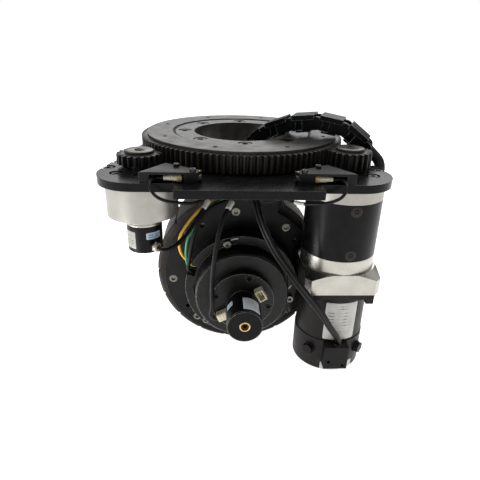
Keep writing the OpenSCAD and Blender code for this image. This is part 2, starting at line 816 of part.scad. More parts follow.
module hub_spindle() color("#8d8f92") {
    flange_r = rim_wheel_r - 4.5;
    on_axle() {
        difference() {
            union() {
                post(flange_r, bracket_back, spindle_back);
                post(spindle_r + 3, spindle_back, bearing_y);
                post(spindle_r - seat_gap, bearing_y, bearing_end);
                post(spindle_r - seat_gap, bracket_front, bracket_back);
            }
            post(motor_shaft_r + run_gap, bracket_front - cut, bearing_end + cut);
            bracket_screw_places() post(plate_screw_d / 2, bracket_back - cut, spindle_back + cut);
        }
        around(planet_r, planet_count, planet_start) post(planet_pin_r, bearing_end - cut, gear_end);
    }
}

// Rolling groove of the wheel bearings
module bearing_groove(y) {
    ball_r = (wheel_bearing_r - spindle_r) / 4;
    translate([0, 0, y + wheel_bearing_w / 2]) rotate_extrude()
        translate([(wheel_bearing_r + spindle_r) / 2, 0]) circle(r = ball_r + run_gap);
}

module wheel_bearing_inner() color("#b9bcc0") {
    ring_t = (wheel_bearing_r - spindle_r) / 3;
    on_axle() for (i = [0, 1]) {
        y = bearing_y + i * wheel_bearing_w;
        difference() {
            collar(spindle_r + ring_t, spindle_r, y, y + wheel_bearing_w - 0.2);
            bearing_groove(y);
        }
    }
}

module wheel_bearing_outer() color("#b9bcc0") {
    ring_t = (wheel_bearing_r - spindle_r) / 3;
    ball_r = (wheel_bearing_r - spindle_r) / 4;
    balls = 24;
    on_axle() for (i = [0, 1]) {
        y = bearing_y + i * wheel_bearing_w;
        difference() {
            collar(wheel_bearing_r - seat_gap, wheel_bearing_r - ring_t, y, y + wheel_bearing_w - 0.2);
            bearing_groove(y);
        }
        around((wheel_bearing_r + spindle_r) / 2, balls, 0)
            translate([0, 0, y + wheel_bearing_w / 2]) sphere(r = ball_r);
    }
}

module wheel_rim() color("#55565a") {
    hub_r_out = wheel_bearing_r + 10;
    band_r = rim_wheel_r - 7;
    web = 9;
    on_axle() difference() {
        union() {
            collar(rim_wheel_r, band_r, wheel_front, -wheel_front);
            collar(band_r + cut, hub_r_out - cut, -web, web);
            post(hub_r_out, bearing_y, hub_end);
        }
        post(wheel_bearing_r, bearing_y - cut, hub_end + cut);
        post(rim_wheel_r - 3, wheel_front - cut, spindle_back + pass_gap);
    }
}

module tyre() color("#4d4844") {
    edge = 3;
    inner = rim_wheel_r;
    half = wheel_w / 2;
    on_axle() difference() {
        rotate_extrude() polygon([[inner, -half], [wheel_r - edge, -half], [wheel_r, -half + edge],
            [wheel_r, half - edge], [wheel_r - edge, half], [inner, half]]);
        around(wheel_r, groove_count, 0) translate([-groove_t, -groove_w / 2, -half - cut])
            cube([2 * groove_t, groove_w, wheel_w + 2 * cut]);
    }
}

module reducer_ring() color("#6f7174") {
    pitch_r = reducer_module * reducer_teeth / 2;
    on_axle() translate([0, 0, gear_y - 0.5]) linear_extrude(reducer_face + 1) difference() {
        circle(r = wheel_bearing_r - seat_gap);
        polygon(gear_outline(reducer_teeth, reducer_module, pitch_r - reducer_module,
            pitch_r + 1.25 * reducer_module, flank_gap / 2, 2));
    }
}

module hub_cover() color("#2f3033") {
    lid_t = 6;
    lid_r = wheel_bearing_r + 10;
    on_axle() difference() {
        union() {
            post(lid_r, hub_end, hub_end + lid_t);
            collar(wheel_bearing_r - seat_gap, wheel_bearing_r - 4, gear_end + 0.6, hub_end);
        }
        around(lid_r - 5, 6, 30) post(2.7, hub_end + 2, hub_end + lid_t + cut);
    }
}

module planet(index) {
    place = planet_start + 360 * index / planet_count;
    phase = place * (1 - reducer_teeth / planet_teeth);
    on_axle() rotate(place) translate([planet_r, 0, gear_y]) rotate(phase - place) difference() {
        gear(planet_teeth, reducer_module, reducer_face - 0.5, 3);
        post(planet_pin_r + run_gap, -cut, reducer_face + cut);
    }
}

module planet_1() color("#8a8c8f") planet(0);

module planet_2() color("#8a8c8f") planet(1);

module planet_3() color("#8a8c8f") planet(2);

module motor_rotor() color("#77797c") {
    on_axle() {
        translate([0, 0, gear_y]) rotate(sun_phase) gear(sun_teeth, reducer_module, reducer_face - 0.5, 3);
        post(motor_shaft_r, drum_front + 4, gear_y);
        post(rotor_r, drum_front + rotor_end, bracket_front - rotor_end);
    }
}

module motor_stator() color("#8c6d3f") {
    on_axle() collar(stator_r, rotor_r + 0.6, drum_front + stator_end, bracket_front - stator_end);
}

// Drum with a neck towards the bracket, a flange in front and a notch where the leads come in
module motor_drum() color("#1e1e20") {
    on_axle() difference() {
        union() {
            post(drum_neck_r, drum_front, bracket_front);
            post(drum_r, drum_front, drum_mid);
        }
        post(stator_r + seat_gap, drum_front - cut, bracket_front - stator_end);
        post(motor_shaft_r + 1, bracket_front - 10, bracket_front + cut);
        rotate(-notch_angle) translate([notch_r, -notch_w / 2, drum_front - cut])
            cube([drum_r, notch_w, drum_flange_l - notch_back + cut]);
        drum_screw_places() post(drum_screw_d / 2, drum_front - cut, drum_front + drum_screw_l + cut);
    }
}

module drum_screw_places() {
    for (angle = drum_screw_angles) rotate(-angle) translate([drum_bolt_r, 0, 0]) children();
}

module drum_screws() color("#bdbdb8") {
    on_axle() drum_screw_places() translate([0, 0, drum_front]) rotate([180, 0, 0])
        cap_screw(drum_screw_d, drum_screw_l, drum_screw_d);
}

module front_housing() color("#232325") {
    edge = 1.5;
    on_axle() difference() {
        rotate_extrude() polygon([[0, front_face], [front_r - edge, front_face], [front_r, front_face + edge],
            [front_r, drum_front], [0, drum_front]]);
        post(motor_shaft_r + 1, drum_front - 3, drum_front + cut);
    }
}

module encoder_base() color("#1c1c1e") {
    neck_r = 14;
    on_axle() difference() {
        union() {
            post(cover_r, cover_front, front_face);
            post(neck_r, cap_back, cover_front);
        }
        around(cover_bolt_r, 4, -cover_bolt_phase) post(3.6, cover_front - cut, cover_front + 2.5);
    }
}

module encoder_base_screws() color("#151515") {
    on_axle() around(cover_bolt_r, 4, -cover_bolt_phase) translate([0, 0, cover_front + 2.5])
        rotate([180, 0, 0]) difference() {
            cylinder(r = 3.4, h = 3);
            translate([0, 0, 1]) cylinder(r = 1.8, h = 3, $fn = 6);
        }
}

module traction_encoder() color("#1f1e20") {
    edge = 1;
    bush_r = 5.4;
    on_axle() difference() {
        rotate_extrude() polygon([[0, cap_front], [cap_r - edge, cap_front], [cap_r, cap_front + edge],
            [cap_r, cap_back], [0, cap_back]]);
        post(bush_r + seat_gap, cap_front - cut, cap_front + 8);
    }
}

module encoder_bush() color("#c79a4b") {
    on_axle() collar(5.4, 3.6, cap_front - 0.3, cap_front + 8);
}

// Cream connector on the encoder base, where the lead plugs in
module encoder_connector() color("#ddd3b5") {
    translate([connector_at[0], cover_front - connector_d / 2, connector_at[1] - axle_drop])
        rotate([0, -25, 0]) cube([13, connector_d, 9], center = true);
}

// Empty cream socket on the encoder base
module encoder_socket() color("#ddd3b5") {
    translate([socket_at[0], cover_front - connector_d / 2, socket_at[1] - axle_drop])
        rotate([0, 59, 0]) difference() {
            cube([13, connector_d, 9], center = true);
            translate([0, -3, 0]) cube([10, connector_d, 6], center = true);
        }
}

module traction_encoder_cable() color("#222222") tube(lead_route, lead_r, 8, [0.32, -0.37, 1]);

module wire_yellow() color("#dcae2a") tube(yellow_route, wire_r, 8, [0.1, 1, 0.1]);

module wire_green() color("#45966a") tube(green_route, wire_r, 8, [0.1, 1, 0.1]);

module brake_cable() color("#202020") tube(brake_route, brake_r, 8, [0.1, 1, 0.1]);

// Places a shape at pivot i, with X along the link and Y across the carrier
module at_pivot(i) {
    p = chain_point(pivot(i));
    lean = chain_headings[min(i, chain_last - 1)];
    translate(p) rotate([0, 0, chain_yaw]) rotate([0, -lean, 0]) children();
}

// Rounded ear of a link round the origin, from y up to y + link_t, reaching x along the link
module link_ear(y, x) {
    translate([0, y + link_t, 0]) rotate([90, 0, 0]) cylinder(r = link_ear_r, h = link_t);
    translate([min(0, x), y, -link_ear_r]) cube([abs(x), link_t, 2 * link_ear_r]);
}

// One link: inner ears at its tail, outer ears at its head, a bar below, and a lid raised over the ears
// of its neighbours, with a skirt down each side
module link() {
    inner = link_w / 2;
    outer = inner + link_t + link_gap;
    wall = 2 * link_t + link_gap;
    mid = link_pitch / 2;
    lid_z = link_ear_r + link_gap;
    lid_y = outer + link_t + link_gap;
    lid = [link_pitch - lid_space, 2 * (lid_y + skirt_t), link_t];
    bar = [link_pitch - 13, 2 * (outer + link_t), link_t];
    saddle = [10, wall, link_t];
    for (side = [0, 1]) mirror([0, side, 0]) {
        link_ear(inner, mid + 1);
        translate([link_pitch, 0, 0]) link_ear(outer, -mid + 1);
        translate([mid - 1, inner, -link_ear_r]) cube([2, wall, 2 * link_ear_r]);
        translate([mid - saddle[0] / 2, inner, lid_z - link_t / 2]) cube(saddle);
        translate([mid - lid[0] / 2, lid_y, lid_z - skirt_h]) cube([lid[0], skirt_t, skirt_h + link_t / 2]);
    }
    translate([mid - lid[0] / 2, -lid[1] / 2, lid_z]) cube(lid);
    translate([mid - bar[0] / 2, -bar[1] / 2, -link_h / 2]) cube(bar);
}

module chain_links() color("#17181a") {
    for (i = [0:chain_last - 1]) at_pivot(i) link();
}

module chain_bracket() color("#1b1b1d") {
    ear = link_h / 2 - 2.5;
    inner = link_w / 2;
    edge = 1;
    foot = [13, link_w + 2 * link_t + 8, 3];
    p = chain_point(chain_end);
    translate(p) rotate([0, 0, chain_yaw]) {
        for (side = [0, 1]) mirror([0, side, 0]) {
            translate([0, inner + link_t, 0]) rotate([90, 0, 0]) cylinder(r = ear, h = link_t);
            translate([-ear, inner, plate_top - p[2]]) cube([ear + edge, link_t, p[2] - plate_top]);
        }
        translate([edge - foot[0], -foot[1] / 2, plate_top - p[2]]) cube(foot);
    }
}

module cable_sleeve() color("#1a1a1a") {
    in_chain = [for (i = [0:chain_last]) chain_point(pivot(i))];
    tube(concat(in_chain, sleeve_tail), sleeve_r, 10, [-0.15, 0.85, 0.5]);
}

module cable_clamp() color("#222224") {
    translate([-clamp_size[0] / 2, clamp_y - clamp_size[1] / 2 + 8.5, clamp_top - clamp_size[2]])
        cube(clamp_size);
}

module pinion(face, gap) {
    bottom = plate_top + gap;
    hub_top = bottom + face + hub_h;
    difference() {
        union() {
            translate([0, 0, bottom]) gear(pinion_teeth, gear_module, face, 4);
            post(hub_r, bottom, hub_top);
        }
        post(pinion_shaft_d / 2 + seat_gap, bottom - cut, hub_top + cut);
    }
}

// Turn of a pinion at which its teeth meet the gear ring's gaps
function pinion_phase(place) = place + 180 - 360 / pinion_teeth * (0.5 - ring_teeth * place / 360);

module steer_pinion() color("#2e2d2c") {
    at_pinion(1) rotate(pinion_phase(-pinion_angle)) pinion(steer_face, steer_pinion_gap);
}

module encoder_pinion() color("#2e2d2c") {
    at_pinion(-1) rotate(pinion_phase(180 + pinion_angle)) pinion(encoder_face, encoder_pinion_gap);
}

// Shaft with a shoulder that carries the pinion at seat, and a screw socket at its top end
module pinion_shaft(bottom, top, seat) {
    difference() {
        union() {
            post(pinion_shaft_d / 2, bottom, top);
            post(shoulder_r, plate_bottom + pass_gap, seat);
        }
        post(2.5, top - 3, top + cut, $fn = 6);
    }
}

module steer_shaft() color("#a7a9ab") {
    top = plate_top + steer_pinion_gap + steer_face + hub_h - 0.5;
    at_pinion(1) pinion_shaft(flange_bottom + 0.5, top, plate_top + steer_pinion_gap);
}

module encoder_shaft() color("#a7a9ab") {
    top = plate_top + encoder_pinion_gap + encoder_face + hub_h - 0.5;
    at_pinion(-1) pinion_shaft(encoder_top - 4, top, plate_top + encoder_pinion_gap);
}

gear_ring();
ring_seal();
race_balls();
inner_ring();
inner_ring_screws();
base_plate();
plate_screws();
sensor_brackets();
limit_sensors();
sensor_plugs();
sensor_cable_left();
sensor_cable_right();
encoder_housing();
shaft_bearings();
steer_encoder();
encoder_gland();
steer_encoder_cable();
gearbox_flange();
gearbox_body();
motor_adapter();
steer_motor();
motor_end_bell();
brush_caps();
terminal_box();
steer_motor_cable();
drive_bracket();
bracket_screws();
hub_spindle();
wheel_bearing_inner();
motor_drum();
motor_stator();
drum_screws();
front_housing();
encoder_base();
encoder_base_screws();
traction_encoder();
encoder_bush();
encoder_connector();
encoder_socket();
traction_encoder_cable();
wire_yellow();
wire_green();
brake_cable();
chain_links();
chain_bracket();
cable_sleeve();
cable_clamp();
steer_pinion();
steer_shaft();
encoder_pinion();
encoder_shaft();
wheel_rim();
tyre();
wheel_bearing_outer();
reducer_ring();
hub_cover();
motor_rotor();
planet_1();
planet_2();
planet_3();
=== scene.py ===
import json
import math

import bmesh
import bpy
import numpy as np
from mathutils import Matrix, Vector


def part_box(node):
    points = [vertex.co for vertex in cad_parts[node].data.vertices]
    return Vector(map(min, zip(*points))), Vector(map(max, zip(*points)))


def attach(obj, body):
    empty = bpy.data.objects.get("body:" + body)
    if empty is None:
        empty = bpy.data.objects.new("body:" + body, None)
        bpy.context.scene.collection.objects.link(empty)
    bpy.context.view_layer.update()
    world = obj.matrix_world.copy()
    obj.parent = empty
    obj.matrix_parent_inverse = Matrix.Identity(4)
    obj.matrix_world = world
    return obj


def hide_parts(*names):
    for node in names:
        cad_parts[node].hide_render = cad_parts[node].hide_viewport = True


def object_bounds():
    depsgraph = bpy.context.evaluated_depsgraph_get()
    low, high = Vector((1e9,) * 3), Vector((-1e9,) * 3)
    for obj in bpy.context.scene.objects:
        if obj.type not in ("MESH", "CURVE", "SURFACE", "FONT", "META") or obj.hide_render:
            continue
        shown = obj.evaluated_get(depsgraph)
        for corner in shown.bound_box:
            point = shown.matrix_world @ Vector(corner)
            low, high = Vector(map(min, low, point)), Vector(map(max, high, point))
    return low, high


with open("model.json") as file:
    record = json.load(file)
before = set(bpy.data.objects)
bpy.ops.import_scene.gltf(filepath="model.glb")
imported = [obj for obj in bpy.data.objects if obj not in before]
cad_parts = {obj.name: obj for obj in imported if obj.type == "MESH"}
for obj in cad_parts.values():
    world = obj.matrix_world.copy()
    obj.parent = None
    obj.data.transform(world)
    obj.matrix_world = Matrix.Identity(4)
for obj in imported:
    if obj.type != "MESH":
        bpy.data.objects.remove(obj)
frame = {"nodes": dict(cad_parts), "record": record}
cadLow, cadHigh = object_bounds()
scene = bpy.context.scene
mm = 0.001

# places of the part's axes and faces, in mm
layout = {
    "pinion": (103.823, -78.236),  # X and Y of the right pinion axis, the left one mirrors it
    "axleZ": -166.0,
    "sensorTop": -12.0,
    "sensorAxis": (-130.536, -18.0),  # Y and Z of the limit sensors
    "bracketFront": -39.0,
    "drumFront": -70.0,  # front faces of the drum and the encoder, in Y
    "capFront": -147.0,
}
axisX, axisY, axisZ = np.eye(3)
rightPinion = np.array([*layout["pinion"], 0.0])
leftPinion = rightPinion * (-1, 1, 1)
axle = np.array([0.0, 0.0, layout["axleZ"]])

# camera at the photograph's viewing angle: place in mm, turns in radians, focal length in pixels of the frame
viewpoint = {"place": (-28.504, -503.550, 94.143), "yaw": 0.059259, "pitch": 0.431856,
             "roll": 0.027936, "focal": 435.847, "frame": 480, "sensor": 36.0}


def makeCamera(look):
    # the line of sight turns by yaw and dips by pitch, then the picture rolls about that line
    yaw, pitch, roll = look["yaw"], look["pitch"], look["roll"]
    ahead = np.array([math.sin(yaw) * math.cos(pitch), math.cos(yaw) * math.cos(pitch), -math.sin(pitch)])
    level = np.array([math.cos(yaw), -math.sin(yaw), 0.0])
    above = np.cross(level, ahead)
    right = math.cos(roll) * level + math.sin(roll) * above
    up = math.cos(roll) * above - math.sin(roll) * level
    lens = bpy.data.cameras.new("viewCamera")
    lens.sensor_width = look["sensor"]
    lens.lens = look["sensor"] * look["focal"] / look["frame"]
    camera = bpy.data.objects.new("viewCamera", lens)
    scene.collection.objects.link(camera)
    turn = Matrix(np.array([right, up, -ahead]).T.tolist()).to_4x4()
    camera.matrix_world = Matrix.Translation(Vector(look["place"]) * mm) @ turn
    scene.camera = camera


makeCamera(viewpoint)
print("camera set")


def hexColour(code):
    # sRGB hex to linear light, the standard two-piece curve
    share = np.array([int(code[i:i + 2], 16) for i in (1, 3, 5)]) / 255
    linear = np.where(share <= 0.04045, share / 12.92, ((share + 0.055) / 1.055) ** 2.4)
    return (*linear.tolist(), 1.0)


def addNode(tree, kind, links=None, values=None, **settings):
    # links: socket to (node, output); values: socket to constant; settings: the node's own options
    node = tree.nodes.new(kind)
    for option, value in settings.items():
        setattr(node, option, value)
    for socket, value in (values or {}).items():
        node.inputs[socket].default_value = value
    for socket, (source, output) in (links or {}).items():
        tree.links.new(source.outputs[output], node.inputs[socket])
    return node


# what a finish has unless it says otherwise: sizes in mm, spans are the band of a noise that counts
plainFinish = {
    "metallic": 0.0, "specular": 0.5, "sheen": 0.0, "edgeMm": 0.3, "grainMm": 0.8, "grain": 0.25,
    "wanderMm": 14.0, "dustMm": 9.0, "rubMm": 6.0, "reliefMm": 0.1, "strandMm": 0.3, "strandDepth": 0.5,
    "patchSpan": (0.36, 0.64), "dustSpan": (0.4, 0.75), "wornAndLitSpan": (0.985, 0.80), "wanderSpan": (0.3, 0.7),
}
slotFinish = {}
shaderSockets = {"Metallic": "metallic", "Specular IOR Level": "specular", "Sheen Weight": "sheen"}


def makeFinish(name, tones, rough, slot=None, **changes):
    # two tones in soft patches, roughness that wanders, fine grain, tool marks, rounded edges, edges lightened
    # by wear and a painted highlight, dust; slot is the record's slot whose solids take this finish
    look = {**plainFinish, **changes}
    material = bpy.data.materials.new(name)
    material.use_nodes = True
    tree = material.node_tree
    shader = tree.nodes["Principled BSDF"]
    for socket, key in shaderSockets.items():
        shader.inputs[socket].default_value = look[key]
    place = addNode(tree, "ShaderNodeTexCoord")
    solid = (place, "Object")

    first, second = (hexColour(code) for code in tones)
    low, high = look["patchSpan"]
    patches = addNode(tree, "ShaderNodeTexNoise", {"Vector": solid},
                      {"Scale": 1 / (look["patchMm"] * mm), "Detail": 5.0, "Roughness": 0.6})
    spread = addNode(tree, "ShaderNodeMapRange", {"Value": (patches, "Fac")},
                     {"From Min": low, "From Max": high})
    tone = addNode(tree, "ShaderNodeMix", {0: (spread, "Result")}, {6: first, 7: second}, data_type="RGBA")
    colour = (tone, 2)

    # rounded edges: the bevel normal stands in for the small radius every machined or moulded edge has
    edge = addNode(tree, "ShaderNodeBevel", None, {"Radius": look["edgeMm"] * mm}, samples=6)
    normal = (edge, "Normal")
    if "dust" in look:
        dustColour, dustShare = look["dust"]
        low, high = look["dustSpan"]
        lying = addNode(tree, "ShaderNodeTexNoise", {"Vector": solid},
                        {"Scale": 1 / (look["dustMm"] * mm), "Detail": 6.0})
        thick = addNode(tree, "ShaderNodeMapRange", {"Value": (lying, "Fac")},
                        {"From Min": low, "From Max": high, "To Max": dustShare})
        settled = addNode(tree, "ShaderNodeMix", {0: (thick, "Result"), 6: colour},
                          {7: hexColour(dustColour)}, data_type="RGBA")
        colour = (settled, 2)
    if "wear" in look:
        # lighter where the bevel normal turns away from the flat one, broken up by a noise: wear on the edges
        # and a painted highlight along them in one
        wearColour, wearShare = look["wear"]
        low, high = look["wornAndLitSpan"]
        flat = addNode(tree, "ShaderNodeNewGeometry")
        turnAway = addNode(tree, "ShaderNodeVectorMath", {0: normal, 1: (flat, "Normal")},
                           operation="DOT_PRODUCT")
        wornAndLitEdge = addNode(tree, "ShaderNodeMapRange", {"Value": (turnAway, "Value")},
                       {"From Min": low, "From Max": high, "To Max": wearShare})
        rubbed = addNode(tree, "ShaderNodeTexNoise", {"Vector": solid},
                         {"Scale": 1 / (look["rubMm"] * mm), "Detail": 3.0})
        broken = addNode(tree, "ShaderNodeMath", {0: (wornAndLitEdge, "Result"), 1: (rubbed, "Fac")}, None,
                         operation="MULTIPLY", use_clamp=True)
        bright = addNode(tree, "ShaderNodeMix", {0: (broken, "Value"), 6: colour},
                         {7: hexColour(wearColour)}, data_type="RGBA")
        colour = (bright, 2)

    low, high = look["wanderSpan"]
    smoothest, roughest = rough
    wander = addNode(tree, "ShaderNodeTexNoise", {"Vector": solid},
                     {"Scale": 1 / (look["wanderMm"] * mm), "Detail": 4.0})
    gloss = addNode(tree, "ShaderNodeMapRange", {"Value": (wander, "Fac")},
                    {"From Min": low, "From Max": high, "To Min": smoothest, "To Max": roughest})

    relief = look["reliefMm"] * mm
    grain = addNode(tree, "ShaderNodeTexNoise", {"Vector": solid},
                    {"Scale": 1 / (look["grainMm"] * mm), "Detail": 2.0})
    bump = addNode(tree, "ShaderNodeBump", {"Height": (grain, "Fac"), "Normal": normal},
                   {"Strength": look["grain"], "Distance": relief})
    if "turned" in look:
        # lathe marks: rings round the piece's axis, drawn coarser than the real feed so that they show
        direction, centre, pitch, depth = look["turned"]
        shifted = addNode(tree, "ShaderNodeMapping", {"Vector": solid},
                          {"Location": tuple(-np.array(centre) * mm)})
        rings = addNode(tree, "ShaderNodeTexWave", {"Vector": (shifted, "Vector")},
                        {"Scale": math.pi / 10 / (pitch * mm), "Distortion": 0.6, "Detail": 2.0,
                         "Detail Scale": 0.4}, wave_type="RINGS", rings_direction=direction)
        bump = addNode(tree, "ShaderNodeBump", {"Height": (rings, "Fac"), "Normal": (bump, "Normal")},
                       {"Strength": depth, "Distance": relief})
    if "braid" in look:
        # two sets of helical strands along the piece's own UV, one each way round the sleeve
        for way in (1, -1):
            slant = addNode(tree, "ShaderNodeMapping", {"Vector": (place, "UV")}, {"Scale": (way, 1.0, 1.0)})
            strands = addNode(tree, "ShaderNodeTexWave", {"Vector": (slant, "Vector")},
                              {"Scale": look["braid"], "Distortion": 0.0}, bands_direction="DIAGONAL")
            bump = addNode(tree, "ShaderNodeBump", {"Height": (strands, "Fac"), "Normal": (bump, "Normal")},
                           {"Strength": look["strandDepth"], "Distance": look["strandMm"] * mm})
    tree.links.new(colour[0].outputs[colour[1]], shader.inputs["Base Color"])
    tree.links.new(gloss.outputs["Result"], shader.inputs["Roughness"])
    tree.links.new(bump.outputs["Normal"], shader.inputs["Normal"])
    if slot:
        slotFinish[slot] = material
    return material


onAxle = (0.0, 0.0, layout["axleZ"])
onRing = (0.0, 0.0, 0.0)

# black oxide steel, turned and oiled: near black with a soft sheen at low angles, lighter along the edges
# where they rub and as a painted highlight
makeFinish("blackOxideSteelTurned", ("#2e2a26", "#25211e"), (0.34, 0.50), "blackened_steel", patchMm=26,
    metallic=0.35, turned=("Z", onRing, 1.6, 0.10), edgeMm=0.35, wear=("#8d8981", 0.9),
    dust=("#57534d", 0.22), dustMm=16)
# the bearing's inner ring: the same steel, greyer with settled dust
makeFinish("blackOxideSteelInner", ("#2d2b28", "#252320"), (0.32, 0.46), "inner_ring_steel", patchMm=20,
    metallic=0.35, turned=("Z", onRing, 1.4, 0.10), edgeMm=0.35, wear=("#96928a", 0.8),
    dust=("#5a5650", 0.4), dustMm=14)
# black oxide on hobbed teeth: dark flanks, light lines along the tips, partly wear and partly painted
# highlight
makeFinish("blackOxideSteelHobbed", ("#24221f", "#1b1917"), (0.36, 0.52), "pinion_steel", patchMm=9,
    metallic=0.35, grainMm=0.7, grain=0.3, turned=("Z", tuple(rightPinion), 1.1, 0.08), edgeMm=0.35,
    wear=("#a19d95", 1.0))
# nitrile rubber: matt black, no mirror in it
makeFinish("nitrileRubber", ("#121212", "#1a1919"), (0.65, 0.8), "seal_rubber", patchMm=6, specular=0.25,
    grainMm=0.6, grain=0.4)
# ground bearing steel: bright, tight highlights
makeFinish("groundBearingSteel", ("#c3c5c7", "#b2b4b6"), (0.14, 0.26), "bearing_steel", patchMm=12,
    metallic=1.0, grainMm=0.5, grain=0.1, turned=("Y", onAxle, 1.0, 0.05))
# black oxide screws: dull black, light on the corners, partly wear and partly painted highlight
makeFinish("blackOxideScrew", ("#161515", "#100f0f"), (0.32, 0.45), "black_screw", patchMm=3, metallic=0.4,
    specular=0.25, grainMm=0.5, edgeMm=0.25, wear=("#77736d", 0.6))
# bright zinc plate: grey, faintly warm, small uneven highlights
makeFinish("zincPlatedScrew", ("#827f78", "#62605a"), (0.22, 0.40), "zinc_screw", patchMm=2.5, metallic=1.0,
    grainMm=0.5, grain=0.3, wear=("#e3e0d8", 0.7))
# dull steel screw: mid grey, with its edges lightened by wear and a painted highlight
greyScrew = makeFinish("dullSteelScrew", ("#4d4b47", "#393734"), (0.30, 0.46), patchMm=2, metallic=1.0,
    grainMm=0.5, grain=0.3, wear=("#cfccc5", 1.3))
# black anodised plate: deep black, fine even satin, a hair of lighter colour along the edges, part worn metal
# and part painted highlight
makeFinish("blackAnodisedPlate", ("#101011", "#0b0b0c"), (0.22, 0.30), "black_anodised", patchMm=30,
    specular=0.12, grainMm=0.7, grain=0.08, edgeMm=0.5, wear=("#8f8f91", 1.1), dust=("#3a3937", 0.10),
    dustMm=8)
# black anodised milled block: matt, a little dustier than the plate; its base is lighter than the plate's as
# painted fill light for the plate's shadow it sits in
makeFinish("blackAnodisedMilledPaintedFill", ("#1e1e1f", "#171718"), (0.38, 0.52), "bracket_black", patchMm=24,
    specular=0.14, grainMm=0.7, edgeMm=0.5, wear=("#8b8883", 1.1), dust=("#3b3936", 0.20), dustMm=7)
# black anodised turned drum: faint rings, thin rims lightened as a painted highlight, partly wear
makeFinish("blackAnodisedTurned", ("#141413", "#0e0e0d"), (0.36, 0.48), "drum_black", patchMm=22,
    specular=0.26, grainMm=0.7, grain=0.2, turned=("Y", onAxle, 1.3, 0.06), edgeMm=0.7,
    wear=("#ccc8c0", 2.0), dust=("#45413c", 0.16), dustMm=6)
# black anodised encoder can: smooth, with a painted highlight line round each rim, partly wear
makeFinish("blackAnodisedSmooth", ("#121111", "#0c0c0c"), (0.26, 0.38), "encoder_black", patchMm=18,
    specular=0.12, grainMm=0.5, grain=0.15, turned=("Y", onAxle, 1.0, 0.04), edgeMm=0.7,
    wear=("#d8d4cc", 2.6))
# satin black paint on the gearbox: an even skin with a broad soft highlight
makeFinish("satinBlackPaint", ("#0e0c0c", "#0a0909"), (0.26, 0.33), "gearbox_black", patchMm=28,
    specular=0.13, grainMm=0.9, grain=0.06, edgeMm=0.4, wear=("#54504c", 0.4), dust=("#383431", 0.12))
# brown-black motor enamel: slight orange peel
makeFinish("brownBlackEnamel", ("#1c1716", "#151110"), (0.36, 0.48), "motor_black", patchMm=20,
    specular=0.18, grainMm=1.6, grain=0.3, edgeMm=0.6, wear=("#5e5652", 0.3), dust=("#4a423d", 0.16))
# brown enamel of the gearbox plugs: a shade lighter than the skin round them
plugEnamel = makeFinish("brownPlugEnamel", ("#2d2725", "#241f1d"), (0.40, 0.52), patchMm=6, specular=0.25,
    grainMm=0.9, wear=("#6a5f59", 0.5))
# clear anodised aluminium: warm satin silver
makeFinish("clearAnodisedAluminium", ("#a9a69f", "#9f9c95"), (0.34, 0.44), "silver_aluminium", patchMm=22,
    metallic=0.9, grainMm=0.6, grain=0.2, edgeMm=0.4, wear=("#dedbd3", 0.6))
# polished aluminium: clear reflections, brighter facets
polishedAluminium = makeFinish("polishedAluminium", ("#b6b3ab", "#a9a69e"), (0.24, 0.36),
    "polished_aluminium", patchMm=18, metallic=1.0, grainMm=0.6, grain=0.18, edgeMm=0.5,
    wear=("#efede8", 0.6))
# nickel plated brass: warm, mirror-like, sharp highlights
makeFinish("nickelPlatedGland", ("#aaa495", "#938d7e"), (0.18, 0.32), "gland_metal", patchMm=4, metallic=1.0,
    grainMm=0.5, grain=0.2, edgeMm=0.25, wear=("#fbf8f0", 0.5))
# blackened nickel plate on the sensor barrels: dull dark metal
makeFinish("blackNickelPlate", ("#45413b", "#383530"), (0.30, 0.42), "nickel_brass", patchMm=4, metallic=0.8,
    grainMm=0.5, grain=0.2, edgeMm=0.25)
# plain brass nuts and pins: pale gold
makeFinish("plainBrass", ("#d6c48c", "#bfab72"), (0.30, 0.42), "plug_brass", patchMm=3, metallic=0.55,
    grainMm=0.5, grain=0.2, edgeMm=0.2, wear=("#fff0c8", 0.5))
# turned brass bush: pale gold with a light lip
makeFinish("turnedBrass", ("#dcc18a", "#c9ac72"), (0.24, 0.36), "bush_brass", patchMm=4, metallic=1.0,
    grainMm=0.4, grain=0.15, wear=("#ffe6a8", 0.5))
# oil soaked sintered bronze: deep brown, a wet glint
linerBronze = makeFinish("sinteredBronze", ("#6e4c16", "#54370c"), (0.28, 0.42), patchMm=2, metallic=0.8,
    grainMm=0.5, grain=0.3, edgeMm=0.2)
# natural nylon moulding: cream, half matt
makeFinish("naturalNylon", ("#ece4ca", "#e0d6b9"), (0.38, 0.50), "cream_plastic", patchMm=5, grainMm=0.6,
    grain=0.2, edgeMm=0.35)
# black ABS moulding: fine spark texture
blackAbs = makeFinish("blackAbs", ("#131111", "#0e0d0d"), (0.40, 0.52), "black_plastic", patchMm=14,
    specular=0.18, grain=0.35, edgeMm=1.1, wear=("#4c4743", 0.25))
# glossy black nylon of the cable carrier: clean moulded skin, painted highlight lines on every edge
makeFinish("glossyBlackNylon", ("#101113", "#0b0c0d"), (0.22, 0.36), "chain_nylon", patchMm=16,
    specular=0.06, grainMm=0.9, grain=0.08, edgeMm=0.55, wear=("#c4c6ca", 2.0), dust=("#3b3a3a", 0.05))
# extruded cable jacket: satin black with faint drag marks
makeFinish("pvcCableJacket", ("#100f0f", "#0b0b0a"), (0.38, 0.52), "cable_black", patchMm=12, specular=0.2,
    grainMm=1.0)
# rubber sheath of the twin motor lead: softer and dustier
makeFinish("rubberCableJacket", ("#141211", "#0f0e0d"), (0.36, 0.48), "motor_cable_black", patchMm=14,
    specular=0.22, grainMm=1.0, dust=("#45423e", 0.15))
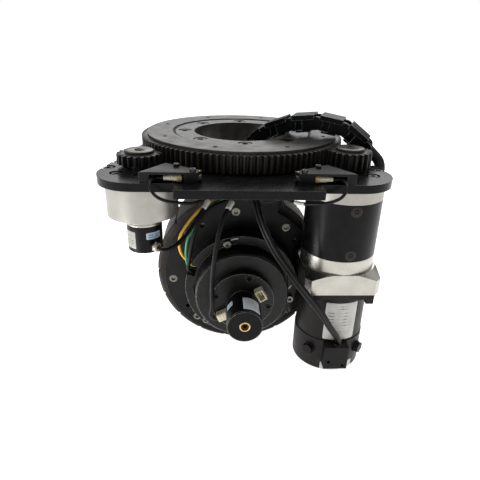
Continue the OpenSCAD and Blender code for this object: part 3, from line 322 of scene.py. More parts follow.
# coloured PVC insulation: clean, slightly waxy
makeFinish("yellowPvcInsulation", ("#efbb26", "#dfab1c"), (0.40, 0.52), "wire_yellow", patchMm=7,
    grainMm=0.9)
makeFinish("greenPvcInsulation", ("#3f9a66", "#2f8253"), (0.36, 0.48), "wire_green", patchMm=7, grainMm=0.9)
# braided polyester sleeve: crossing strands, drawn coarse enough to show
makeFinish("braidedPolyester", ("#17171a", "#0f0f11"), (0.42, 0.55), "sleeve_braid", patchMm=9,
    specular=0.25, grain=0.2, braid=2.4, sheen=0.05)
# dark brown-black over the windings and steel laminations, seen only through gaps
makeFinish("darkWinding", ("#2c2420", "#1d1816"), (0.35, 0.5), "winding_copper", patchMm=5,
    metallic=0.2, grainMm=1.2, grain=0.5)
# machined steel: cool grey, faint turning marks
makeFinish("machinedSteel", ("#9c9c9b", "#868686"), (0.28, 0.42), "machined_steel", patchMm=14, metallic=1.0,
    grainMm=0.6, grain=0.2, turned=("Y", onAxle, 1.2, 0.07), wear=("#d7d6d3", 0.5))
# ground washer steel: mid grey, lighter round the rim from wear and a painted highlight
washerSteel = makeFinish("groundWasherSteel", ("#6a6762", "#595651"), (0.34, 0.48), patchMm=8, metallic=1.0,
    grainMm=0.6, wear=("#d9d7d2", 0.6))
# painted casting: black with a faint sandy skin
makeFinish("paintedCasting", ("#1b1a1a", "#131212"), (0.44, 0.60), "rim_black", patchMm=18, specular=0.25,
    grainMm=1.8, grain=0.5, edgeMm=0.8, dust=("#3d3834", 0.2), dustMm=20.0)
# polyurethane tyre: dark with a dusty taupe bloom on the tread
makeFinish("dustyPolyurethane", ("#312d2b", "#292624"), (0.50, 0.66), "tyre_polyurethane", patchMm=26,
    specular=0.2, grainMm=1.4, grain=0.45, edgeMm=1.0, wear=("#8f857d", 0.9), dust=("#5f5751", 0.30),
    dustMm=24.0)
# coated white label paper: even, half matt
labelPaper = makeFinish("whiteLabelPaper", ("#d2d0ca", "#c7c4bd"), (0.34, 0.46), patchMm=9, grain=0.15)
# silver foil label: cool and even
labelSilver = makeFinish("silverLabelFoil", ("#f2f5f9", "#e6ebf1"), (0.30, 0.42), patchMm=8, grain=0.15)
# label paper in a dull white, and the ink of its plain rules
labelGrey = makeFinish("greyLabelPaper", ("#a7a5a0", "#9d9a94"), (0.34, 0.46), patchMm=7, grain=0.15)
printedInk = makeFinish("printedInk", ("#55555a", "#46464a"), (0.5, 0.6), patchMm=2, specular=0.2, grain=0.1)
# pale blue label paper
labelBlue = makeFinish("paleBlueLabel", ("#b4c6d6", "#9fb6ca"), (0.34, 0.46), patchMm=6, grain=0.15)
# white PVC marker sleeve: soft, slightly grey
markerSleeve = makeFinish("whiteMarkerSleeve", ("#dcdad3", "#cbc8c0"), (0.40, 0.55), patchMm=4, grainMm=0.7,
    grain=0.2)
# paint pen marks: uneven, semi-gloss
whitePaint = makeFinish("whitePaintPen", ("#dddddb", "#c6c6c3"), (0.35, 0.5), patchMm=2, grain=0.4)
redPaint = makeFinish("redPaintPen", ("#7d2a22", "#5f211b"), (0.35, 0.5), patchMm=2, grain=0.4)
# amber lens of the sensor lamp: clear moulded plastic, glossy
amberLens = makeFinish("amberLens", ("#d9a21c", "#c48a12"), (0.14, 0.24), patchMm=1.5, grainMm=0.4,
    grain=0.1)

for part in frame["record"]["subparts"]:
    solid = frame["nodes"][part["node"]]
    if solid.material_slots:
        solid.material_slots[0].material = slotFinish[part["material_slot"]]
    else:
        solid.data.materials.append(slotFinish[part["material_slot"]])


def gridFaces(rows, cols):
    # quads of a grid of points that closes on itself across its columns
    row, col = np.arange(rows - 1)[:, None] * cols, np.arange(cols)[None, :]
    nextCol = (col + 1) % cols
    return np.stack([row + col, row + nextCol, row + nextCol + cols, row + col + cols], -1).reshape(-1, 4)


def addPiece(name, shells, slot, finish=None, stands=(), body="carriage", crease=38.0, along=None):
    # joins closed shells of points in mm into one mesh, closes seams and poles, and rides it on a body;
    # without a finish of its own it takes its slot's
    points, faces, count = [], [], 0
    for shellPoints, shellFaces in shells:
        points.append(shellPoints)
        faces += [[i + count for i in face] for face in shellFaces]
        count += len(shellPoints)
    mesh = bpy.data.meshes.new(name)
    mesh.from_pydata((np.concatenate(points) * mm).tolist(), [], faces)
    if along is not None:
        wrap = mesh.uv_layers.new(name="along")
        wrap.data.foreach_set("uv", along.ravel())
    work = bmesh.new()
    work.from_mesh(mesh)
    bmesh.ops.remove_doubles(work, verts=work.verts, dist=1e-7)
    bmesh.ops.recalc_face_normals(work, faces=work.faces)
    work.to_mesh(mesh)
    work.free()
    mesh.shade_smooth()
    mesh.set_sharp_from_angle(angle=math.radians(crease))
    mesh.materials.append(finish or slotFinish[slot])
    piece = bpy.data.objects.new(name, mesh)
    scene.collection.objects.link(piece)
    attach(piece, body)
    if stands:
        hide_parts(*stands)
    return piece


def smoothPath(points, perSpan):
    # centripetal Catmull-Rom: a cubic through every point, knots spaced by the root of each chord
    p = np.array(points, float)
    p = np.concatenate([[2 * p[0] - p[1]], p, [2 * p[-1] - p[-2]]])
    knot = np.concatenate([[0], np.cumsum(np.sqrt(np.linalg.norm(np.diff(p, axis=0), axis=1)))])[:, None]
    d = np.diff(p, axis=0) / np.diff(knot, axis=0)
    wide = (p[2:] - p[:-2]) / (knot[2:] - knot[:-2])
    slope = d[:-1] - wide + d[1:]
    span = np.diff(knot, axis=0)[1:-1]
    p1, p2 = p[1:-2, None], p[2:-1, None]
    m1, m2 = (slope[:-1] * span)[:, None], (slope[1:] * span)[:, None]
    t = np.linspace(0, 1, perSpan, endpoint=False)[None, :, None]
    curve = ((2 * t**3 - 3 * t**2 + 1) * p1 + (t**3 - 2 * t**2 + t) * m1
             + (3 * t**2 - 2 * t**3) * p2 + (t**3 - t**2) * m2)
    return np.concatenate([curve.reshape(-1, 3), p[-2:-1]])


def headed(angle):
    # unit vector in the XY plane at an angle in degrees
    a = math.radians(angle)
    return np.array([math.cos(a), math.sin(a), 0.0])


def onWheel(angle):
    # unit vector in the XZ plane at an angle in degrees, seen from the motor side
    a = math.radians(angle)
    return np.array([math.cos(a), 0.0, math.sin(a)])


def unitRows(v):
    return v / np.linalg.norm(v, axis=-1, keepdims=True)


def tube(path, section, side, swell=None):
    # a section carried along a path: each ring stands square to the path, turned to keep its side direction
    ahead = unitRows(np.gradient(path, axis=0))
    u = unitRows(np.cross(ahead, side))
    v = np.cross(ahead, u)
    grow = np.ones(len(path)) if swell is None else swell
    rings = (path[:, None] + grow[:, None, None]
             * (section[None, :, :1] * u[:, None] + section[None, :, 1:] * v[:, None]))
    cols = len(section)
    last = (len(path) - 1) * cols
    faces = gridFaces(len(path), cols).tolist()
    faces += [list(range(cols)), list(range(last + cols - 1, last - 1, -1))]
    return rings.reshape(-1, 3), faces


def roundSection(radius, sides):
    angle = np.linspace(0, 2 * math.pi, sides, endpoint=False)
    return radius * np.stack([np.cos(angle), np.sin(angle)], -1)


def twinSection(offset, radius, sides):
    # outline of two overlapping circles: the reach from the middle to the further circle at each angle
    spoke = roundSection(1.0, sides)
    reach = np.abs(offset * spoke[:, 0]) + np.sqrt(radius**2 - (offset * spoke[:, 1])**2)
    return reach[:, None] * spoke


def pathLength(path):
    return np.concatenate([[0], np.cumsum(np.linalg.norm(np.diff(path, axis=0), axis=1))])


def alongUv(path, cols, girth):
    # U counts turns round the tube, V the length in tube circumferences; end caps sit at zero
    length = pathLength(path) / girth
    row, col = np.arange(len(path) - 1)[:, None], np.arange(cols)[None, :]
    u = np.stack([col, col + 1, col + 1, col], -1) / cols + 0 * row[..., None]
    v = np.stack([length[:-1], length[:-1], length[1:], length[1:]], -1)[:, None] + 0 * col[..., None]
    return np.concatenate([np.stack([u, v], -1).reshape(-1, 2), np.zeros((2 * cols, 2))])


# cable routes in mm, point for point as the solids have them; strands is half the gap and the radius
# of a twin lead
cables = {
    "sensorCableLeft": {
        "node": "sensor_cable_left", "slot": "cable_black", "radius": 1.5,
        "side": (-0.08, 1, -1), "stiffness": "limp",
        "route": [(-79.1, -130.5, -18), (-82, -130.8, -18), (-85, -135, -18.5), (-86, -142, -21.5),
                  (-81, -147, -29), (-71, -147, -34), (-60, -140, -38), (-48, -122, -44), (-28, -84, -46),
                  (-14.4, -60.9, -46)]},
    "steerEncoderCable": {
        "node": "steer_encoder_cable", "slot": "cable_black", "radius": 2.3,
        "side": (0.2, 1, 0.3), "stiffness": "limp",
        "route": [(-87.6, -99.8, -102), (-82, -104, -102), (-73, -101, -100), (-64, -93, -95), (-56, -85, -87),
                  (-48, -78, -77), (-38, -68, -63), (-28, -57, -51), (-19.5, -52.6, -47.4)]},
    "steerMotorCable": {
        "node": "steer_motor_cable", "slot": "motor_cable_black", "radius": 4.2,
        "side": (1, 0.78, -0.54), "stiffness": "stiff", "strands": (1.9, 2.3),
        "route": [(105, -121.5, -208.7), (105, -121.5, -204), (102, -124, -197), (93, -127, -183),
                  (79, -128, -161), (52, -122, -128), (29, -112, -97), (16, -102, -71), (11, -84, -53),
                  (8.1, -61.4, -47.3)]},
    "tractionEncoderCable": {
        "node": "traction_encoder_cable", "slot": "cable_black", "radius": 2.4,
        "side": (0.32, -0.37, 1), "stiffness": "limp",
        "route": [(-27.2, -105, -183.4), (-30, -105.1, -184.6), (-34, -106, -180), (-33, -108, -169),
                  (-33, -110, -156), (-33, -110, -138), (-30, -107, -106), (-24, -100, -76), (-16, -91, -60),
                  (-5, -70, -49), (-4.1, -60.7, -47.1)]},
    "wireYellow": {
        "node": "wire_yellow", "slot": "wire_yellow", "radius": 1.6,
        "side": (0.1, 1, 0.1), "stiffness": "medium",
        "route": [(-52.5, -57.2, -145.9), (-57, -59, -142), (-64, -62, -133), (-69, -65, -121),
                  (-69, -65, -106), (-60, -63, -90), (-44, -60, -72), (-22, -52, -60), (-14.6, -51.1, -55.6)]},
    "wireGreen": {
        "node": "wire_green", "slot": "wire_green", "radius": 1.6,
        "side": (0.1, 1, 0.1), "stiffness": "medium",
        "route": [(-52.7, -61.5, -145.8), (-57, -63.5, -143.9), (-60.8, -66.5, -138.5), (-62, -68.5, -130),
                  (-62, -70, -119), (-59, -70, -103), (-49, -67, -87), (-34, -61, -70), (-14, -55, -60),
                  (-8.6, -54.1, -55.4)]},
    "brakeCable": {
        "node": "brake_cable", "slot": "cable_black", "radius": 2.2,
        "side": (0.1, 1, 0.1), "stiffness": "limp",
        "route": [(-53.9, -66, -146.8), (-57.5, -69.5, -144.5), (-60, -73, -139.5), (-58.5, -75.5, -129),
                  (-56, -76, -112), (-50, -75, -90), (-36, -70, -70), (-11, -61, -61), (-3, -57.4, -56.1)]},
    "carrierSleeve": {
        "node": "cable_sleeve", "slot": "sleeve_braid", "radius": 5.5,
        "side": (0.17, -1, -0.58), "stiffness": "stiff", "route": []},
}
# the carrier: pivots in an upright plane that leaves the bore at the foot, turned by yaw, link by link
carrier = {"foot": (10.0, 0.0), "yaw": -22.0, "start": (0.0, -19.5), "pitch": 29.0,
           "lean": (45, 22, 7, -8, -36),
           "tail": [(137, -51, -13), (144, -54, -21), (146, -54, -32), (141, -45, -40), (122, -26, -42),
                    (86, -17, -42), (62, -27, -46), (56, -41, -53), (44, -52, -61), (27, -53, -66),
                    (14, -51, -64), (9.5, -50, -57.2)]}
lean = np.radians(carrier["lean"])
reach = np.concatenate([[0], np.cumsum(carrier["pitch"] * np.cos(lean))]) + carrier["start"][0]
rise = np.concatenate([[0], np.cumsum(carrier["pitch"] * np.sin(lean))]) + carrier["start"][1]
outward = headed(carrier["yaw"])
pivots = np.array([*carrier["foot"], 0.0]) + reach[:, None] * outward + rise[:, None] * axisZ
cables["carrierSleeve"]["route"] = pivots.tolist() + carrier["tail"]
mirrored = dict(cables["sensorCableLeft"], node="sensor_cable_right", side=(0.08, 1, -1))
mirrored["route"] = [(-x, y, z) for x, y, z in mirrored["route"]]
cables["sensorCableRight"] = mirrored

cableMesh = {"perSpan": 8, "sides": 16, "twinSides": 36, "crease": 60.0}
paths = {}
for name, cable in cables.items():
    path = smoothPath(cable["route"], cableMesh["perSpan"])
    paths[name] = path
    section = roundSection(cable["radius"], cableMesh["sides"])
    if "strands" in cable:
        section = twinSection(*cable["strands"], cableMesh["twinSides"])
    shell = tube(path, section, cable["side"])
    around = alongUv(path, len(section), 2 * math.pi * cable["radius"])
    piece = addPiece(name, [shell], cable["slot"], stands=[cable["node"]], crease=cableMesh["crease"],
                     along=around)


def polygonReach(sides, angle):
    # distance to the edge of a regular polygon with a corner at angle zero; zero sides is a circle
    if not sides:
        return np.ones_like(angle)
    part = 2 * math.pi / sides
    return math.cos(part / 2) / np.cos(np.mod(angle, part) - part / 2)


def turned(profile, origin, axis, side, steps=48, facets=None, ribs=None):
    # a profile of radius and distance along an axis, carried round it; facets make a row a polygon,
    # ribs ripple it
    angle = np.linspace(0, 2 * math.pi, steps, endpoint=False)
    profile = np.array(profile, float)
    shape = np.stack([polygonReach(n, angle) for n in (facets or [0] * len(profile))])
    if ribs:
        shape = shape * np.stack([1 + depth * np.cos(count * angle) for count, depth in ribs])
    spoke = np.cos(angle)[:, None] * side + np.sin(angle)[:, None] * np.cross(axis, side)
    points = (origin + profile[:, 1][:, None, None] * axis
              + (profile[:, 0][:, None] * shape)[..., None] * spoke)
    return points.reshape(-1, 3), gridFaces(len(profile), steps).tolist()


def roundedOutline(halfWide, halfTall, corner, steps=64):
    # rounded rectangle, its points spaced evenly along the edge
    angle = np.linspace(0, 2 * math.pi, 96, endpoint=False) + math.pi / 96
    edge = np.stack([np.sign(np.cos(angle)) * (halfWide - corner) + corner * np.cos(angle),
                     np.sign(np.sin(angle)) * (halfTall - corner) + corner * np.sin(angle)], -1)
    edge = np.concatenate([edge, edge[:1]])
    run = pathLength(edge)
    even = np.linspace(0, run[-1], steps, endpoint=False)
    return np.stack([np.interp(even, run, edge[:, 0]), np.interp(even, run, edge[:, 1])], -1)


def pad(halfWide, halfTall, corner, levels, put, steps=64, inner=6):
    # a rounded plate: its outline shrinks to the middle below and above, rows of levels give inset and height
    outline = roundedOutline(halfWide, halfTall, corner, steps)
    scale = np.array([halfWide, halfTall])
    share = np.linspace(0, 1, inner + 1)
    rows = ([(*levels[0], s) for s in share] + [(*level, 1) for level in levels[1:-1]]
            + [(*levels[-1], s) for s in share[::-1]])
    flat = np.stack([outline * (1 - inset / scale) * shrink for inset, height, shrink in rows])
    raised = np.stack([np.full(steps, height) for inset, height, shrink in rows])
    return put(flat[..., 0], flat[..., 1], raised).reshape(-1, 3), gridFaces(len(rows), steps).tolist()


def wrapRound(origin, axis, facing, radius, height):
    # lays a plate on a cylinder: X runs round it from the facing direction, Y along the axis, Z outwards
    across = np.cross(axis, facing)

    def put(x, y, z):
        angle = (x / radius)[..., None]
        spoke = np.cos(angle) * facing + np.sin(angle) * across
        return origin + (height + y)[..., None] * axis + (radius + z)[..., None] * spoke
    return put


def layFlat(origin, right, up):
    # lays a plate on a plane
    out = np.cross(right, up)

    def put(x, y, z):
        return origin + x[..., None] * right + y[..., None] * up + z[..., None] * out
    return put


seatSink = 0.3  # mm that a head reaches into what carries it
headSteps = 36


def screwHead(origin, axis, side, radius, height, socket, depth):
    # low domed head with a hexagon socket
    rows = [(0, -seatSink), (radius * 0.98, -seatSink), (radius, 0.25 * height), (radius * 0.93, 0.7 * height),
            (radius * 0.78, 0.95 * height), (socket * 1.25, height), (socket * 1.02, height),
            (socket, height - 0.15), (socket, height - depth), (0, height - depth)]
    return turned(rows, origin, axis, side, headSteps, [0] * 6 + [6] * 4)


def capScrew(origin, axis, side, radius, height, socket, depth):
    # straight sided head with a chamfered rim and a hexagon socket
    rows = [(0, -seatSink), (radius, -seatSink), (radius, height - 0.4), (radius - 0.35, height),
            (socket * 1.2, height), (socket, height - 0.2), (socket, height - depth), (0, height - depth)]
    return turned(rows, origin, axis, side, headSteps, [0] * 5 + [6] * 3)


# profiles below are rows of radius and distance along the axis, screws are head radius, height, socket
# and its depth

# limit sensors: screws on the wedge blocks, lamps at the sensor ends
sensors = {
    "screws": [(65.0, -114.8), (49.4, -131.0)], "screw": (2.75, 2.8, 1.4, 1.5), "screwTurn": 20.0,
    "lamp": (43.8, -129.4),
    "dome": [(0, -0.3), (0.9, -0.3), (0.9, 0.2), (0.72, 0.55), (0.36, 0.75), (0, 0.8)],
}
screwShells, lampShells = [], []
for hand in (-1, 1):
    for x, y in sensors["screws"]:
        screwShells.append(capScrew((hand * x, y, layout["sensorTop"]), axisZ, headed(sensors["screwTurn"]),
                                    *sensors["screw"]))
    x, y = sensors["lamp"]
    lampShells.append(turned(sensors["dome"], (hand * x, y, layout["sensorTop"]), axisZ, axisX, steps=20))
addPiece("sensorBracketScrews", screwShells, "zinc_screw", greyScrew)
addPiece("sensorLamps", lampShells, "plug_brass", amberLens)

# sensor plugs, measured from the middle plane: ribbed nut, grooved body with a slim tail, a boot at each end
plug = {
    "nut": [(0, 58.8), (3.1, 58.8), (3.5, 59.2), (3.5, 62.8), (3.1, 63.2), (0, 63.2)],
    "nutRibs": (24, (0, 0, 0.03, 0.03, 0, 0)),
    "neck": [(0, 63.2), (2.8, 63.2), (3.1, 63.6)],
    "grooveAt": [(3.02, 64.2), (2.876, 66.0), (2.732, 67.8)],
    "groove": [(0, 0), (-0.5, 0.3), (-0.5, 0.8), (-0.05, 1.1)],
    "tail": [(2.5, 69.6), (2.4, 70.0), (2.3, 71.8), (2.0, 72.2), (2.0, 72.8), (2.25, 73.2),
             (2.2, 75.2), (0, 75.2)],
    "bodyRibs": (6, 0.02),
    "boots": [[(0, 57.0), (3.1, 57.0), (3.1, 58.6), (0, 58.8)],
              [(0, 75.2), (1.95, 75.2), (1.95, 76.4), (1.75, 76.7), (1.75, 77.2), (1.9, 77.5), (1.85, 78.4),
               (1.6, 79.0), (0, 79.0)]],
}
grooves = [(r + dr, d + dd) for r, d in plug["grooveAt"] for dr, dd in plug["groove"]]
bodyRows = plug["neck"] + grooves + plug["tail"]
ribCount, ribDepths = plug["nutRibs"]
nutShells, bodyShells, bootShells = [], [], []
for hand in (-1, 1):
    pose = ((0, *layout["sensorAxis"]), hand * axisX, axisZ)
    nutShells.append(turned(plug["nut"], *pose, steps=96, ribs=[(ribCount, depth) for depth in ribDepths]))
    bodyShells.append(turned(bodyRows, *pose, steps=60, ribs=[plug["bodyRibs"]] * len(bodyRows)))
    bootShells += [turned(rows, *pose, steps=36) for rows in plug["boots"]]
addPiece("sensorPlugNuts", nutShells, "plug_brass", stands=["sensor_plugs"], crease=25.0)
addPiece("sensorPlugBodies", bodyShells, "cream_plastic", stands=["sensor_plugs"])
addPiece("sensorPlugBoots", bootShells, "cable_black", stands=["sensor_plugs"])
print("limit sensors dressed")

# pinion ends: a ground washer over each hub, held by a socket screw
pinionEnds = {
    "Right": ("steer_gear", "steer_pinion", rightPinion),
    "Left": ("encoder_gear", "encoder_pinion", leftPinion),
    "washer": [(0, -0.4), (13.4, -0.4), (13.6, -0.1), (13.6, 0.25), (13.3, 0.45), (5.6, 0.45), (5.4, 0.3),
               (5.0, 0.3), (0, 0.3)],
    "screw": (4.3, 0.9, 1.9, 0.8), "screwTurn": 15.0, "screwSeat": (0, 0, 0.35),
}
for side in ("Right", "Left"):
    body, node, centre = pinionEnds[side]
    seat = centre + (0, 0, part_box(node)[1][2] / mm)
    washer = turned(pinionEnds["washer"], seat, axisZ, axisX, steps=72)
    holder = screwHead(seat + pinionEnds["screwSeat"], axisZ, headed(pinionEnds["screwTurn"]),
                       *pinionEnds["screw"])
    addPiece("pinionWasher" + side, [washer], "machined_steel", washerSteel, body=body)
    addPiece("pinionScrew" + side, [holder], "black_screw", body=body)
print("pinion ends dressed")

# labels: rows of inset and height, for the paper and for the ink on it
paperLevels = [(0, -0.08), (0, -0.08), (0, 0.10), (0.12, 0.16), (0.12, 0.16)]
inkLevels = [(0, 0.02), (0, 0.02), (0, 0.17), (0.03, 0.20), (0.03, 0.20)]
ink = {"half": 0.36, "corner": 0.25, "steps": 48, "inner": 1}


def addLabel(name, rulesName, label, origin, axis, facing, slot):
    # a label bent round a cylinder, half a turn in degrees each way and tall mm each way along the axis;
    # its printed rules are plain bars: place across, height and half length of each
    put = wrapRound(origin, axis, facing, label["radius"], label["at"])
    wide = math.radians(label["half"]) * label["radius"]
    paper = pad(wide, label["tall"], label["corner"], paperLevels, put, *label["mesh"])
    addPiece(name, [paper], slot, label["finish"])
    if label["rules"]:
        bars = [pad(long, ink["half"], ink["corner"], inkLevels,
                    lambda x, y, z, a=across, u=up: put(x + a, y + u, z), ink["steps"], ink["inner"])
                for across, up, long in label["rules"]]
        addPiece(rulesName, bars, slot, printedInk)


# steering encoder: gland with a hexagon and a ribbed dome nut, two labels, a bright collar under its housing
steerEncoder = {
    "radius": 18.2, "glandAngle": -53.0, "glandZ": -102.0, "glandRibs": 18,
    # radius, distance from the wall, sides of the polygon, depth of the ribs
    "gland": [(0, -0.6, 0, 0), (4.4, -0.6, 0, 0), (4.4, 1.9, 0, 0), (5.5, 2.0, 6, 0), (5.6, 2.4, 6, 0),
              (5.6, 5.4, 6, 0), (5.3, 5.8, 6, 0), (4.6, 5.9, 0, 0.02), (4.5, 7.2, 0, 0.02),
              (4.0, 8.3, 0, 0.015), (2.9, 8.75, 0, 0), (2.35, 8.8, 0, 0), (2.35, 6.0, 0, 0), (0, 6.0, 0, 0)],
    "White": {"angle": -133.5, "half": 20.5, "at": -95.8, "tall": 9.4, "finish": labelGrey,
              "rules": [(-1.0, 4.5, 3.4), (-2.4, -0.4, 1.5), (2.6, -0.8, 1.6), (-2.4, -3.4, 1.3),
                        (2.6, -4.0, 1.4)]},
    "Blue": {"angle": -51.5, "half": 25.5, "at": -90.7, "tall": 3.7, "finish": labelBlue,
             "rules": [(-3.6, 1.2, 2.6), (-3.6, -1.2, 2.6), (3.6, 1.2, 2.2), (3.6, -1.2, 2.8)]},
    "collar": [(17.6, -1.7), (18.45, -1.7), (18.75, -1.4), (18.75, 0.3), (17.6, 0.3), (17.6, -1.7)],
}
outwards = headed(steerEncoder["glandAngle"])
glandRows = np.array(steerEncoder["gland"])
seat = leftPinion + (0, 0, steerEncoder["glandZ"]) + outwards * steerEncoder["radius"]
shell = turned(glandRows[:, :2], seat, outwards, axisZ, 72, glandRows[:, 2].tolist(),
               [(steerEncoder["glandRibs"], depth) for depth in glandRows[:, 3]])
addPiece("encoderGland", [shell], "gland_metal", stands=["encoder_gland"], crease=25.0)
for tint in ("White", "Blue"):
    label = dict(steerEncoder[tint], radius=steerEncoder["radius"], corner=1.0, mesh=(64, 6))
    addLabel("steerEncoderLabel" + tint, "steerEncoderRows" + tint, label, leftPinion, axisZ,
             headed(label["angle"]), "encoder_black")
housingFoot = leftPinion + (0, 0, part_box("encoder_housing")[0][2] / mm)
shell = turned(steerEncoder["collar"], housingFoot, axisZ, axisX, steps=72)
addPiece("encoderCollar", [shell], "silver_aluminium", polishedAluminium)

# steering gearmotor: flush plugs in the gearbox, a printed plate and a tag on the motor, the cable's grommet
gearmotor = {
    "gearboxRadius": 39.3, "plugZ": (-54.4, -101.7), "plugAngle": -86.0, "plugRadius": 5.8,
    "plugLevels": [(0, -0.5), (0, -0.5), (0, 0.02), (0.35, 0.18), (0.35, 0.18)],
    "socket": [(0, -0.2), (2.5, -0.2), (2.5, 0.3), (2.1, 0.42), (1.5, 0.42), (1.45, 0.36),
               (1.45, -0.1), (0, -0.1)],
    "tagAngle": -82.0, "tagHalf": 29.0, "tagZ": (-238.0, -250.0), "tagCorner": 0.8,
    "bellRadius": 38.6, "bellRound": 3.0, "bellEdge": -246.5,
    "grommetAt": (105, -121.5, -209.0),
    "grommet": [(0, -0.5), (5.15, -0.5), (5.15, 0.8), (4.9, 1.3), (4.75, 1.5), (4.7, 2.6), (4.55, 3.0),
                (4.3, 3.1), (4.25, 0.5), (0, 0.5)],
}
plugShells, socketShells = [], []
facing = headed(gearmotor["plugAngle"])
for z in gearmotor["plugZ"]:
    put = wrapRound(rightPinion, axisZ, facing, gearmotor["gearboxRadius"], z)
    r = gearmotor["plugRadius"]
    plugShells.append(pad(r, r, r - 0.01, gearmotor["plugLevels"], put, steps=48))
    seat = rightPinion + (0, 0, z) + facing * gearmotor["gearboxRadius"]
    socketShells.append(turned(gearmotor["socket"], seat, facing, axisZ, 36, [0] * 4 + [6] * 4))
addPiece("gearboxPlugs", plugShells, "gearbox_black", plugEnamel)
# the sockets, rim and all, take the black moulding finish: painted shade in and round the shallow hex recesses
addPiece("gearboxPlugSocketsPaintedShade", socketShells, "black_screw", blackAbs)
motorPlate = {"radius": 37.8, "angle": -85.0, "half": 27.5, "at": -182.8, "tall": 23.6, "corner": 1.5,
              "mesh": (96, 8), "finish": labelPaper,
              "rules": [(0, 19.5, 9), (0, 16.3, 6), (0, -13, 12), (0, -16, 12), (-4, -19, 8)]}
for up in (11, 7, 3, -1, -5):
    motorPlate["rules"] += [(-11.5, up, 3.4), (4.5, up, 8.2)]
addLabel("steerMotorPlate", "steerMotorRows", motorPlate, rightPinion, axisZ, headed(motorPlate["angle"]),
         "motor_black")
bellWrap = wrapRound(rightPinion, axisZ, headed(gearmotor["tagAngle"]), gearmotor["bellRadius"], 0.0)
tagTop, tagFoot = gearmotor["tagZ"]


def roundTheBell(x, y, z):
    # down the straight side of the end bell, then round its lower edge: past the edge, length becomes an arc
    edge, bend = gearmotor["bellEdge"], gearmotor["bellRound"]
    y = y + (tagTop + tagFoot) / 2
    past = np.clip(edge - y, 0.0, None) / bend
    drop = np.where(past > 0, edge - (bend + z) * np.sin(past), y)
    return bellWrap(x, drop, z * np.cos(past) - bend * (1 - np.cos(past)))


shell = pad(math.radians(gearmotor["tagHalf"]) * gearmotor["bellRadius"], (tagTop - tagFoot) / 2,
            gearmotor["tagCorner"], paperLevels, roundTheBell, *motorPlate["mesh"])
addPiece("motorBellTag", [shell], "motor_black", labelPaper)
shell = turned(gearmotor["grommet"], gearmotor["grommetAt"], axisZ, axisX, steps=40)
addPiece("terminalGrommet", [shell], "black_plastic")
print("steering encoder and gearmotor dressed")

# traction encoder: two labels, and the shaft bush, a thin chamfered lip with a brown liner set back in it
traction = {
    "Label": {"angle": 65.0, "half": 30.0, "at": -131.8, "tall": 10.5, "finish": labelSilver,
              "rules": [(1.5, 6.0, 5.5), (0.5, 2.6, 7.2), (2.5, -1.4, 5.4), (2.5, -5.2, 5.0)]},
    "Patch": {"angle": 145.0, "half": 15.0, "at": -124.6, "tall": 4.2, "finish": labelBlue, "rules": []},
    "radius": 18.4,
    "lip": [(4.05, 7.7), (5.4, 7.7), (5.4, -0.1), (5.2, -0.3), (4.4, -0.3), (4.05, 0.05), (4.05, 7.7)],
    "liner": [(0, 7.7), (4.0, 7.7), (4.0, 1.6), (2.8, 1.6), (2.4, 2.0), (2.4, 4.6), (0, 4.6)],
}
for kind in ("Label", "Patch"):
    label = dict(traction[kind], radius=traction["radius"], corner=1.0, mesh=(64, 6))
    addLabel("tractionEncoder" + kind, "tractionEncoderRows", label, axle, axisY, onWheel(label["angle"]),
             "encoder_black")
capFront = axle + (0, layout["capFront"], 0)
shell = turned(traction["lip"], capFront, axisY, axisX, steps=64)
addPiece("shaftBush", [shell], "bush_brass", stands=["encoder_bush"])
shell = turned(traction["liner"], capFront, axisY, axisX, steps=48)
addPiece("bushLining", [shell], "bush_brass", linerBronze)

# paint pen marks on the drum and round a bracket screw, X and Z of their points
face = -axisY
marks = {
    "white": [[(-13.0, -106.4), (-9.0, -105.0), (-4.5, -104.4)],
              [(55.5, -168.5), (57.0, -166.0), (58.2, -163.5)]],
    "whiteHalf": 0.8, "redHalf": 0.5, "crown": 0.12, "lift": 0.05,
    "redCentre": (52.6, -104.4), "redRadius": 6.0, "redSpans": [(195, 240), (20, 55)],
}


def stroke(points, y, half):
    # a paint pen line: a flat strip along a smooth path with a low crown, thin at both ends
    path = smoothPath([(x, y, z) for x, z in points], 6) + face * marks["lift"]
    share = np.linspace(0, 1, len(path))
    taper = np.sqrt(np.clip(share * share[::-1] * 12, 0.02, 1))
    return tube(path, roundSection(1.0, 10) * (half, marks["crown"]), face, taper)


whiteShells = [stroke(points, layout["drumFront"], marks["whiteHalf"]) for points in marks["white"]]
addPiece("paintPenWhite", whiteShells, "zinc_screw", whitePaint)
redShells = []
for start, end in marks["redSpans"]:
    bend = np.radians(np.linspace(start, end, 4))
    ringed = np.array(marks["redCentre"]) + marks["redRadius"] * np.stack([np.cos(bend), np.sin(bend)], -1)
    redShells.append(stroke(ringed, layout["bracketFront"], marks["redHalf"]))
addPiece("paintPenRed", redShells, "zinc_screw", redPaint)

